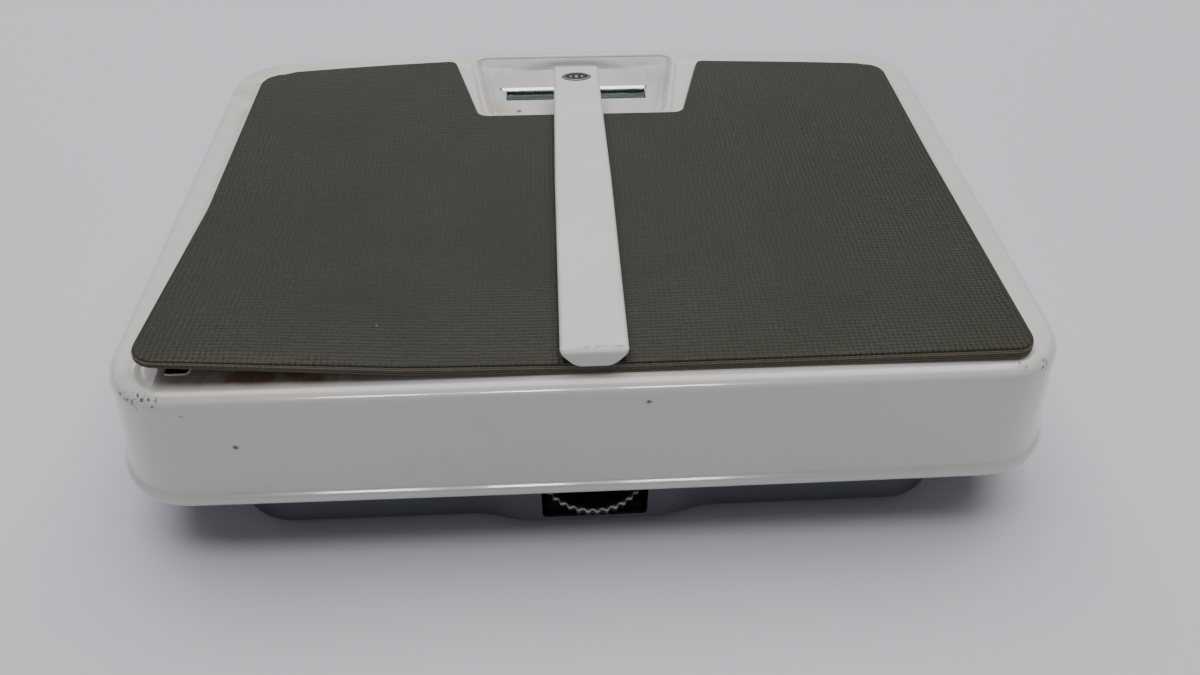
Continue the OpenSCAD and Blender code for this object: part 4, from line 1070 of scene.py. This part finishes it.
def slot_edge():
    """Bright turned-up edge along the far side of the slot."""
    first_x, last_x = SLOT_LO.x - 3 * MM, SLOT_HI.x + 1.2 * MM
    profile = [
        (-0.25, -1.2), (-0.35, -0.5), (-0.2, 0.02), (0, 0.15), (0.7, 0.5), (0.95, 0.6), (1.15, 0.52),
        (1.25, 0.2), (1.25, -0.2), (0.3, -0.2), (0.2, -0.5), (0, -1.2),
    ]
    rings = []
    steps = 40
    for k in range(steps + 1):
        x = first_x + (last_x - first_x) * k / steps
        wobble = 0.12 * MM * noise.noise(Vector((x * 90, 3.1, 0)))
        rings.append([
            Vector((x, SLOT_HI.y + dy * MM + wobble, FLOOR_Z + dz * MM)) for dy, dz in profile
        ])
    obj = weld(make_object("slot_edge", *loft(rings)))
    return finish_piece(obj, "platform", "zinc_steel", material=bright_edge)


window_scoop()
slot_edge()


# --- Centre bar and badge ---

def bar_half(y):
    """Half width of the bar, narrower towards its far end."""
    if y <= BAR_MIDDLE_Y:
        return BAR_HALF_NEAR
    t = (y - BAR_MIDDLE_Y) / (bar_hi.y - BAR_MIDDLE_Y)
    return BAR_HALF_NEAR + (BAR_HALF_FAR - BAR_HALF_NEAR) * t


def bar_stations(edge_r):
    """Sections from the far end to the nose's tip: point, normal, half width and depth of the flanges."""
    top, low = bar_hi.z, bar_lo.z
    up = Vector((0, 0, 1))
    nose_r = 2.2 * MM
    nose_turn = math.radians(76)
    flange = top - low - edge_r
    bend_y = bar_lo.y + nose_r
    taper = 7 * MM
    stations = []
    straight, curved = 46, 6
    for k in range(straight + 1):
        y = bar_hi.y + (bend_y + taper - bar_hi.y) * k / straight
        stations.append((Vector((0, y, top)), up, bar_half(y), flange))
    for k in range(1, curved + 1):
        left = 1 - k / curved
        stations.append((Vector((0, bend_y + taper * left, top)), up, BAR_HALF_NEAR, flange * left ** 0.8))
    for k in range(1, curved + 1):
        a = nose_turn * k / curved
        p = Vector((0, bend_y - nose_r * math.sin(a), top - nose_r * (1 - math.cos(a))))
        normal = Vector((0, -math.sin(a), math.cos(a)))
        stations.append((p, normal, BAR_HALF_NEAR * (1 - 0.05 * (k / curved) ** 2), 0.0))
    down = Vector((0, -math.cos(nose_turn), -math.sin(nose_turn)))
    length = (p.z - low - 0.1 * MM) / math.sin(nose_turn)
    for t, shrink in ((0.12, 0.92), (0.35, 0.84), (0.6, 0.74), (0.8, 0.65), (0.93, 0.56), (1, 0.45)):
        stations.append((p + down * (length * t), normal, BAR_HALF_NEAR * shrink, 0.0))
    return stations


def bar_section(half, depth, r):
    """Across the channel as (x, depth below its back): flange, rounded fold, back, fold and flange."""
    corner, across = 5, 8
    part = [(half, r + depth), (half, r + depth * 0.5)]
    for k in range(corner + 1):
        a = math.pi / 2 * k / corner
        part.append((half - r * (1 - math.cos(a)), r * (1 - math.sin(a))))
    for k in range(1, across):
        part.append(((half - r) * (1 - k / across), 0))
    return [(-x, d) for x, d in part] + [(0, 0)] + part[::-1]


def centre_bar():
    """White channel with a turned-down nose, a little uneven, with a recess for the badge."""
    edge_r = 1.5 * MM
    verts, faces = [], []
    stations = bar_stations(edge_r)
    for p, n, half, depth in stations:
        row = bar_section(half, depth, edge_r if depth > 0 or n.z > 0.99 else edge_r * 0.5)
        for x, d in row:
            dent = 0 if d > 0 else 0.2 * MM * noise.noise(Vector((x * 60, p.y * 45, 1.7)))
            verts.append(p - n * d + Vector((x, 0, 0)) + n * (dent - 0.1 * MM))
    width = len(row)
    for r in range(len(stations) - 1):
        for k in range(width - 1):
            a = r * width + k
            faces.append((a, a + width, a + width + 1, a + 1))
    obj = weld(make_object("bar_channel", verts, faces))
    face_up(obj, lambda f: abs(f.normal.z) > 0.9)
    thicken(obj, BAR_SHEET)
    centre = (badge_lo + badge_hi) / 2
    a = (badge_hi.x - badge_lo.x) / 2 + 0.12 * MM
    b = (badge_hi.y - badge_lo.y) / 2 + 0.12 * MM
    cutter = loft([oval(centre, a, b, bar_hi.z + up * MM) for up in (-2, 1)])
    cut(obj, weld(make_object("badge_cutter", *cutter)))
    return finish_piece(obj, "lift_bar", "bar_white", ["centre_bar"])


def badge_plate(centre, a, b):
    """Oval plate with a raised rim."""
    top, low = badge_hi.z, badge_lo.z
    plate = [
        (0.97, low), (1.0, low + 0.2 * MM), (1.0, top - 0.12 * MM), (0.96, top), (0.84, top),
        (0.8, top - 0.14 * MM), (0.4, top - 0.1 * MM),
    ]
    verts, faces = loft([oval(centre, a * s, b * s, z) for s, z in plate])
    obj = weld(make_object("badge_plate", verts, faces))
    finish_piece(obj, "lift_bar", "badge_dark", ["bar_badge"])


def badge_mark(centre, a, b):
    """Plain mark: a pale line round the badge and three lozenges."""
    top = badge_hi.z
    parts = [tube(oval(centre, a * 0.88, b * 0.84, top - 0.04 * MM), 0.26 * MM, 8, True)]
    for step, size in ((-1, 0.75), (0, 1.0), (1, 0.75)):
        at_x = centre.x + step * 2.3 * MM
        shape = []
        for z, s in ((top - 0.2 * MM, size), (top - 0.02 * MM, 0.9 * size)):
            turns = [TAU * (j + 0.5) / 4 for j in range(4)]
            shape.append([
                Vector((at_x + s * 0.8 * MM * math.cos(t), centre.y + s * 1.25 * MM * math.sin(t), z))
                for t in turns
            ])
        parts.append(loft(shape))
    mark = weld(make_object("badge_mark", *merged(parts), False), 0.001 * MM)
    finish_piece(mark, "lift_bar", "badge_dark", material=badge_pale)


def badge():
    """Dark oval plate and its pale mark."""
    centre = (badge_lo + badge_hi) / 2
    a = (badge_hi.x - badge_lo.x) / 2
    b = (badge_hi.y - badge_lo.y) / 2
    badge_plate(centre, a, b)
    badge_mark(centre, a, b)


centre_bar()
badge()


# --- Base ---

def pan_outline(inset, bulge=1.0):
    """The pan's outline, anticlockwise, with the soft bulge round the wheel."""
    half = pan_hi.x - inset
    r = 20 * MM - inset
    front = PAN_FRONT_Y + inset
    rear = pan_hi.y - inset
    points = arc(half - r, rear - r, r, 0, math.pi / 2, 10)
    points += arc(-half + r, rear - r, r, math.pi / 2, math.pi, 10)
    points += arc(-half + r, front + r, r, math.pi, 1.5 * math.pi, 10)
    reach = BULGE_HALF_W + BULGE_RUN + 2 * MM
    steps = 30
    for k in range(steps + 1):
        x = -reach + 2 * reach * k / steps
        out = 1 - smooth(BULGE_HALF_W - 1 * MM, BULGE_HALF_W + BULGE_RUN, abs(x))
        points.append((x, front - BULGE_OUT * out * bulge))
    points += arc(half - r, front + r, r, 1.5 * math.pi, TAU, 10)
    return points


def base_pan():
    """Shallow pan with a pressed bead in its bottom and the opening for the wheel."""
    z0, z1 = pan_lo.z, pan_hi.z
    wall = [
        (3.4, 0), (2.0, 0.15), (1.0, 0.55), (0.35, 1.3), (0.05, 2.4), (0, 4.0),
        (0, 14.0), (0, 25.6), (0.05, 26.9), (0.5, 27.7), (1.2, 27.9),
    ]
    rings = []
    for inset, up in wall:
        z = z0 + min(up * MM, z1 - z0)
        rings.append(at_height(pan_outline(inset * MM), z))
    side = loft(rings, False, False)
    bottom_loop = in_plan(rings[0])
    panel = rectangle(-96 * MM, -70 * MM, 96 * MM, 66 * MM, 14 * MM, 8)
    bead_half, bead_deep = 2.6 * MM, 0.9 * MM
    loops = [bottom_loop] + [grown(panel, d * MM) for d in (4.2, 2.6, 1.7, 0.8, 0, -0.8, -1.7, -2.6, -4.2)]
    flat, faces = fill(loops, grown(bottom_loop, 0.02 * MM))
    bottom = []
    for x, y in flat:
        d = abs(signed_distance(x, y, panel))
        bottom.append((x, y, z0 - bead_deep * (1 - smooth(0, bead_half, d))))
    obj = make_object("pan_shell", *merged([side, (bottom, [f[::-1] for f in faces])]))
    weld(obj)
    face_up(obj, lambda f: f.calc_center_median().z < z0 + 0.1 * MM, -1)
    thicken(obj, PAN_SHEET)
    opening = rectangle(-OPENING_HALF_W, OPENING_LOW_Z, OPENING_HALF_W, OPENING_TOP_Z, 1.6 * MM, 4)
    cutter = loft([[(x, y, z) for x, z in opening] for y in (pan_lo.y - 5 * MM, PAN_FRONT_Y + 5 * MM)])
    cut(obj, weld(make_object("opening_cutter", *cutter)))
    return finish_piece(obj, "base", "slate_paint", ["base_pan"])


def rubber_feet():
    """Four turned feet with a recess below and a stem through the pan."""
    r = 10 * MM
    top, inner_top = pan_lo.z, feet_hi.z
    sheet_top = top + 1.2 * MM
    profile = [
        (2.2, 0.6 * MM), (6.4, 0.5 * MM), (7.2, 0), (8.8, 0), (9.6, 0.35 * MM), (10, 1.2 * MM),
        (9.7, top - 0.5 * MM), (9.2, top), (3, top), (3, sheet_top), (4.5, sheet_top),
        (4.4, inner_top - 0.3 * MM), (3.8, inner_top),
    ]
    parts = []
    for side_x in (-1, 1):
        for side_y in (-1, 1):
            centre = Vector((side_x * (feet_hi.x - r), side_y * (feet_hi.y - r), 0))
            parts.append(lathe(profile, centre, 40))
    obj = weld(make_object("feet", *merged(parts)))
    return finish_piece(obj, "base", "foot_rubber", ["rubber_feet"])


base_pan()
rubber_feet()


# --- Wheel, springs and dial ---

def scalloped(centre, r, z, teeth, depth, per):
    """Ring with round-bottomed scallops, per points to each."""
    points = []
    for i in range(teeth * per):
        a = TAU * i / (teeth * per)
        d = depth * (1 - math.cos(a * teeth)) / 2
        points.append(Vector((centre.x + (r - d) * math.cos(a), centre.y + (r - d) * math.sin(a), z)))
    return points


def zero_wheel():
    """Scalloped rim, a shallow dish in its top face and the hub on the spindle."""
    z0, z1 = wheel_lo.z, wheel_hi.z
    rim_top = z0 + 3 * MM
    dish_z = rim_top - 0.7 * MM
    round_off = 0.45 * MM
    bore, hub = 3.05, 7
    r = (wheel_hi.x - wheel_lo.x) / 2
    teeth, depth, per = 37, 1.1 * MM, 8
    under = [(bore, z0), (hub, z0)]
    dish = [
        (16.5, rim_top), (15.8, dish_z), (8.4, dish_z), (7.4, rim_top), (hub, rim_top + 0.4 * MM),
        (hub, z1 - 0.5 * MM), (6.5, z1), (bore, z1), (bore, z0),
    ]
    rings = [oval(wheel_centre, ring_r * MM, ring_r * MM, z, teeth * per) for ring_r, z in under]
    for inset, z in ((round_off, z0), (0, z0 + round_off), (0, rim_top - round_off), (round_off, rim_top)):
        rings.append(scalloped(wheel_centre, r - inset, z, teeth, depth, per))
    rings += [oval(wheel_centre, ring_r * MM, ring_r * MM, z, teeth * per) for ring_r, z in dish]
    obj = weld(make_object("thumb_wheel", *loft(rings, False, False)))
    return finish_piece(obj, "zero_adjuster", "wheel_black", ["zero_wheel"])


def helix(centre, r, z0, z1, turns, per=20, start=0.0):
    """Points along a vertical coil."""
    points = []
    n = int(turns * per)
    for i in range(n + 1):
        a = start + TAU * turns * i / n
        z = z0 + (z1 - z0) * i / n
        points.append(Vector((centre.x + r * math.cos(a), centre.y + r * math.sin(a), z)))
    return points


def main_spring():
    """Coil between the nose plate and the yoke, with a plug and a headed stem at each end."""
    centre = Vector((0, (spring_lo.y + spring_hi.y) / 2, 0))
    r = 5 * MM
    wire = 1 * MM
    bottom = nose_hi.z + 1.5 * MM
    top = yoke_lo.z - 2.1 * MM
    coil = tube(helix(centre, r, bottom + wire, top - wire, 8.4), wire, 12)
    lower = lathe([
        (2.4, spring_lo.z), (2.4, spring_lo.z + 1.4 * MM), (1, spring_lo.z + 1.5 * MM),
        (1, bottom - 0.4 * MM), (4.2, bottom - 0.2 * MM), (4.2, bottom + 3 * MM), (3.8, bottom + 3.4 * MM),
    ], centre, 28)
    obj = weld(make_object("pull_spring", *merged([coil, lower])))
    start, end = (0, centre.y, top - 1 * MM), (0, centre.y, bottom + 2 * MM)
    finish_spring(obj, start, end, "main_spring")
    upper = lathe([
        (3.6, top - 5.5 * MM), (3.8, top - 5 * MM), (3.8, top + 0.2 * MM), (1, top + 0.4 * MM),
        (1, yoke_hi.z + 0.1 * MM), (2.4, yoke_hi.z + 0.2 * MM), (2.4, yoke_hi.z + 1.2 * MM),
        (2, yoke_hi.z + 1.6 * MM),
    ], centre, 28)
    plug = weld(make_object("spring_stem", *upper))
    finish_piece(plug, "yoke", "spring_steel")


def hook(centre, r, axis_a, axis_b, a0, a1, n):
    """Open wire ring from angle a0 to a1, in the plane of two axes."""
    points = []
    for k in range(n + 1):
        a = a0 + (a1 - a0) * k / n
        points.append(centre + axis_a * (r * math.cos(a)) + axis_b * (r * math.sin(a)))
    return points


def finish_spring(obj, start, end, replaced):
    """Spring steel for a spring, its placement moved into its mesh, and the CAD part it replaces hidden."""
    obj.data.materials.append(MATS["spring_steel"])
    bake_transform(obj)
    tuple(start)
    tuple(end)
    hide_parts(replaced)


def hold_down_springs():
    """Light springs that keep the platform on its levers, hooked between the lugs."""
    up = Vector((0, 0, 1))
    across = Vector((1, 0, 0))
    wire = 0.45 * MM
    for name, s in (("hold_down_left", -1), ("hold_down_right", 1)):
        x = s * 113 * MM
        ring_r = 2.2 * MM
        low_z = hooks_lo.z + wire + ring_r
        high_z = hooks_hi.z - wire - ring_r
        coil_lo, coil_hi = low_z + ring_r + 0.3 * MM, high_z - ring_r - 0.3 * MM
        r = 2.5 * MM
        centre = Vector((x, 0, 0))
        path = hook(Vector((x, 0, low_z)), ring_r, up, across, -math.pi * 1.25, 0, 20)
        turns = 36
        path += [Vector((x + r * 0.5, 0, coil_lo - 0.15 * MM))]
        path += helix(centre, r, coil_lo, coil_hi, turns, 12)
        path += [Vector((x + r * 0.5, 0, coil_hi + 0.15 * MM))]
        path += hook(Vector((x, 0, high_z)), ring_r, -up, across, 0, math.pi * 1.25, 20)
        obj = make_object(name, *tube(path, wire, 7))
        finish_spring(obj, (x, 0, low_z), (x, 0, high_z), "hold_down_springs")


def rack_spring():
    """Light coil lying behind the rack, with a ring on the bracket's ear and a tail held in the rack."""
    wire = 0.3 * MM
    x = (rack_spring_lo.x + rack_spring_hi.x) / 2
    z = (rack_spring_lo.z + rack_spring_hi.z) / 2
    y0 = -40 * MM
    y1 = rack_spring_hi.y
    along = Vector((0, 1, 0))
    across = Vector((1, 0, 0))
    up = Vector((0, 0, 1))
    ring_r = 1.7 * MM
    r = 1.1 * MM
    coil_lo, coil_hi = y0 + 2 * ring_r + 0.4 * MM, y1 - 6.5 * MM
    path = hook(Vector((x, y0 + ring_r, z)), ring_r, along, across, -math.pi * 1.3, 0, 16)
    turns, per = 24, 10
    for i in range(turns * per + 1):
        a = TAU * i / per
        y = coil_lo + (coil_hi - coil_lo) * i / (turns * per)
        path.append(Vector((x + r * math.cos(a), y, z + r * math.sin(a))))
    path += [Vector((x, coil_hi + 0.8 * MM, z)), Vector((x, y1 - 1.3 * MM, z))]
    head = tube([Vector((x, y1 - 1.1 * MM, z)), Vector((x, y1 - 0.1 * MM, z))], 1.05 * MM, 16)
    obj = make_object("return_spring", *merged([tube(path, wire, 7), head]))
    finish_spring(obj, (x, coil_lo, z), (x, coil_hi, z), "rack_spring")


def figure_mesh(text, size):
    """A number as a thin mesh."""
    curve = bpy.data.curves.new("figure", "FONT")
    curve.body = text
    curve.size = size
    curve.align_x = "CENTER"
    curve.align_y = "CENTER"
    curve.extrude = 0.04 * MM
    obj = place("figure", curve)
    mesh = evaluated(obj)
    verts = [v.co.copy() for v in mesh.vertices]
    faces = [tuple(p.vertices) for p in mesh.polygons]
    bpy.data.objects.remove(obj)
    return verts, faces


def dial_point(out, a, z):
    """Point on the dial at a distance and an angle from its axis."""
    centre = (disc_lo + disc_hi) / 2
    return Vector((centre.x + out * math.cos(a), centre.y + out * math.sin(a), z))


def dial_line(k, a, r):
    """Printed line of one division, longer at each fifth and tenth."""
    inner = r - (4.6 if k % 10 == 0 else 3.4 if k % 5 == 0 else 2.4) * MM
    outer = r - 0.8 * MM
    half = (0.16 if k % 5 == 0 else 0.1) * MM
    side = Vector((-math.sin(a), math.cos(a), 0)) * half
    low = [
        dial_point(inner, a, disc_hi.z) - side, dial_point(outer, a, disc_hi.z) - side,
        dial_point(outer, a, disc_hi.z) + side, dial_point(inner, a, disc_hi.z) + side,
    ]
    return loft([low, [p + Vector((0, 0, 0.05 * MM)) for p in low]])


def dial_figure(k, a, r):
    """The number of one division, upright when it is at the far side."""
    verts, faces = figure_mesh(str(k), 4.4 * MM)
    turn = Matrix.Rotation(a - math.pi / 2, 4, "Z")
    at = dial_point(r - 7.4 * MM, a, disc_hi.z + 0.04 * MM)
    return [turn @ v + at for v in verts], faces


def dial():
    """Disc with a printed scale of 120 divisions, and the figures that pass under the window."""
    r = (disc_hi.x - disc_lo.x) / 2
    z0, z1 = disc_lo.z, disc_hi.z
    bore, rim, edge = 2.95, r / MM, 0.2
    profile = [
        (bore, z0), (rim - edge, z0), (rim, z0 + edge * MM), (rim, z1 - edge * MM), (rim - edge, z1),
        (bore, z1), (bore, z0),
    ]
    disc = weld(make_object("dial_plate", *lathe(profile, (disc_lo + disc_hi) / 2, 128, False), False))
    finish_piece(disc, "dial", "dial_face", ["dial_disc"])
    divisions = 120
    angles = [math.pi / 2 + math.radians(321.5) * k / divisions for k in range(divisions + 1)]
    parts = [dial_line(k, a, r) for k, a in enumerate(angles)]
    parts += [dial_figure(k, angles[k], r) for k in range(0, divisions + 1, 10)]
    marks = make_object("dial_marks", *merged(parts), False)
    finish_piece(marks, "dial", "dial_face", material=ink)


zero_wheel()
main_spring()
hold_down_springs()
rack_spring()
dial()


# --- Finishes of the CAD parts that stay ---

def paint_cad_parts():
    """Gives every part that stays from CAD its slot's material. The plate by the wheel gets a darker steel
    instead.
    """
    slot_of = {s["node"]: s["material_slot"] for s in frame["record"]["subparts"]}
    darker_plate = {"spring_frame": steel("dark_plate_steel", (0.045, 0.045, 0.048), (0.4, 0.55))}
    for name, obj in nodes.items():
        material = darker_plate.get(name) or MATS.get(slot_of.get(name))
        if material is None:
            continue
        obj.data.materials.clear()
        obj.data.materials.append(material)


paint_cad_parts()


# --- Stage, lights and camera ---

def stage():
    """Pale floor that sweeps up behind the object."""
    g = Graph("stage_paper")
    tone = g.mix(g.cloud((1.2, 3), 0.3, 0.7), (0.70, 0.70, 0.775), (0.73, 0.73, 0.80))
    g.surface(tone, (3, 2), (0.6, 0.75), (30, 2), 0.3, 0.2)
    rows = [(-5.0, 0), (0.9, 0)]
    r = 0.9
    for k in range(1, 13):
        a = math.pi / 2 * k / 12
        rows.append((0.9 + r * math.sin(a), r * (1 - math.cos(a))))
    rows.append((0.9 + r, 3.0))
    verts, faces = [], []
    for y, z in rows:
        verts += [(-6, y, z), (6, y, z)]
    for k in range(len(rows) - 1):
        faces.append((2 * k, 2 * k + 1, 2 * k + 3, 2 * k + 2))
    obj = make_object("stage_floor", verts, faces)
    obj.data.materials.append(g.material)


def area_light(name, at, towards, width, height, watts, colour=(1, 1, 1)):
    """Rectangular light aimed at a point."""
    data = bpy.data.lights.new(name, "AREA")
    data.shape = "RECTANGLE"
    data.size = width
    data.size_y = height
    data.energy = watts
    data.color = colour
    obj = place(name, data)
    obj.location = at
    obj.rotation_mode = "QUATERNION"
    obj.rotation_quaternion = (Vector(towards) - Vector(at)).to_track_quat("-Z", "Y")
    return obj


def lights():
    """Wide soft ceiling, faint room light and three lamps that only show as glints."""
    middle = (0, 0, 0.06)
    area_light("ceiling", (0.05, 0.4, 1.9), middle, 2.6, 1.9, 50, (1, 0.99, 0.98))
    area_light("room", (-0.6, -1.6, 1.5), middle, 1.8, 1.2, 0.5, (0.96, 0.97, 1))
    for k, (x, width) in enumerate(((-0.487, 0.25), (-0.108, 0.19), (0.262, 0.24))):
        lamp = area_light(f"lamp_{k}", (x, -1.55, 1.35), (x * 0.2, -0.1, 0.07), width, 0.24, 5.5)
        lamp.visible_diffuse = False
    world = bpy.data.worlds.new("soft_room")
    world.use_nodes = True
    world.node_tree.nodes["Background"].inputs["Color"].default_value = (0.93, 0.92, 1, 1)
    world.node_tree.nodes["Background"].inputs["Strength"].default_value = 0.15
    bpy.context.scene.world = world


def camera():
    """View from the front, above and a little to the left, matched to the object's edges."""
    pitch, yaw, roll = 0.786733, -0.0600267, 0.0109112
    turn = Matrix.Rotation(yaw, 3, "Z")
    forward = turn @ Vector((0, math.cos(pitch), -math.sin(pitch)))
    right = turn @ Vector((1, 0, 0))
    up = right.cross(forward)
    right, up = (
        right * math.cos(roll) + up * math.sin(roll),
        up * math.cos(roll) - right * math.sin(roll),
    )
    data = bpy.data.cameras.new("camera")
    data.lens = 27
    data.sensor_width = 36
    data.clip_start = 0.01
    obj = place("camera", data)
    rows = Matrix((right, up, -forward)).transposed()
    obj.matrix_world = Matrix.Translation((-0.009486, -0.279066, 0.271563)) @ rows.to_4x4()
    bpy.context.scene.camera = obj


stage()
lights()
camera()
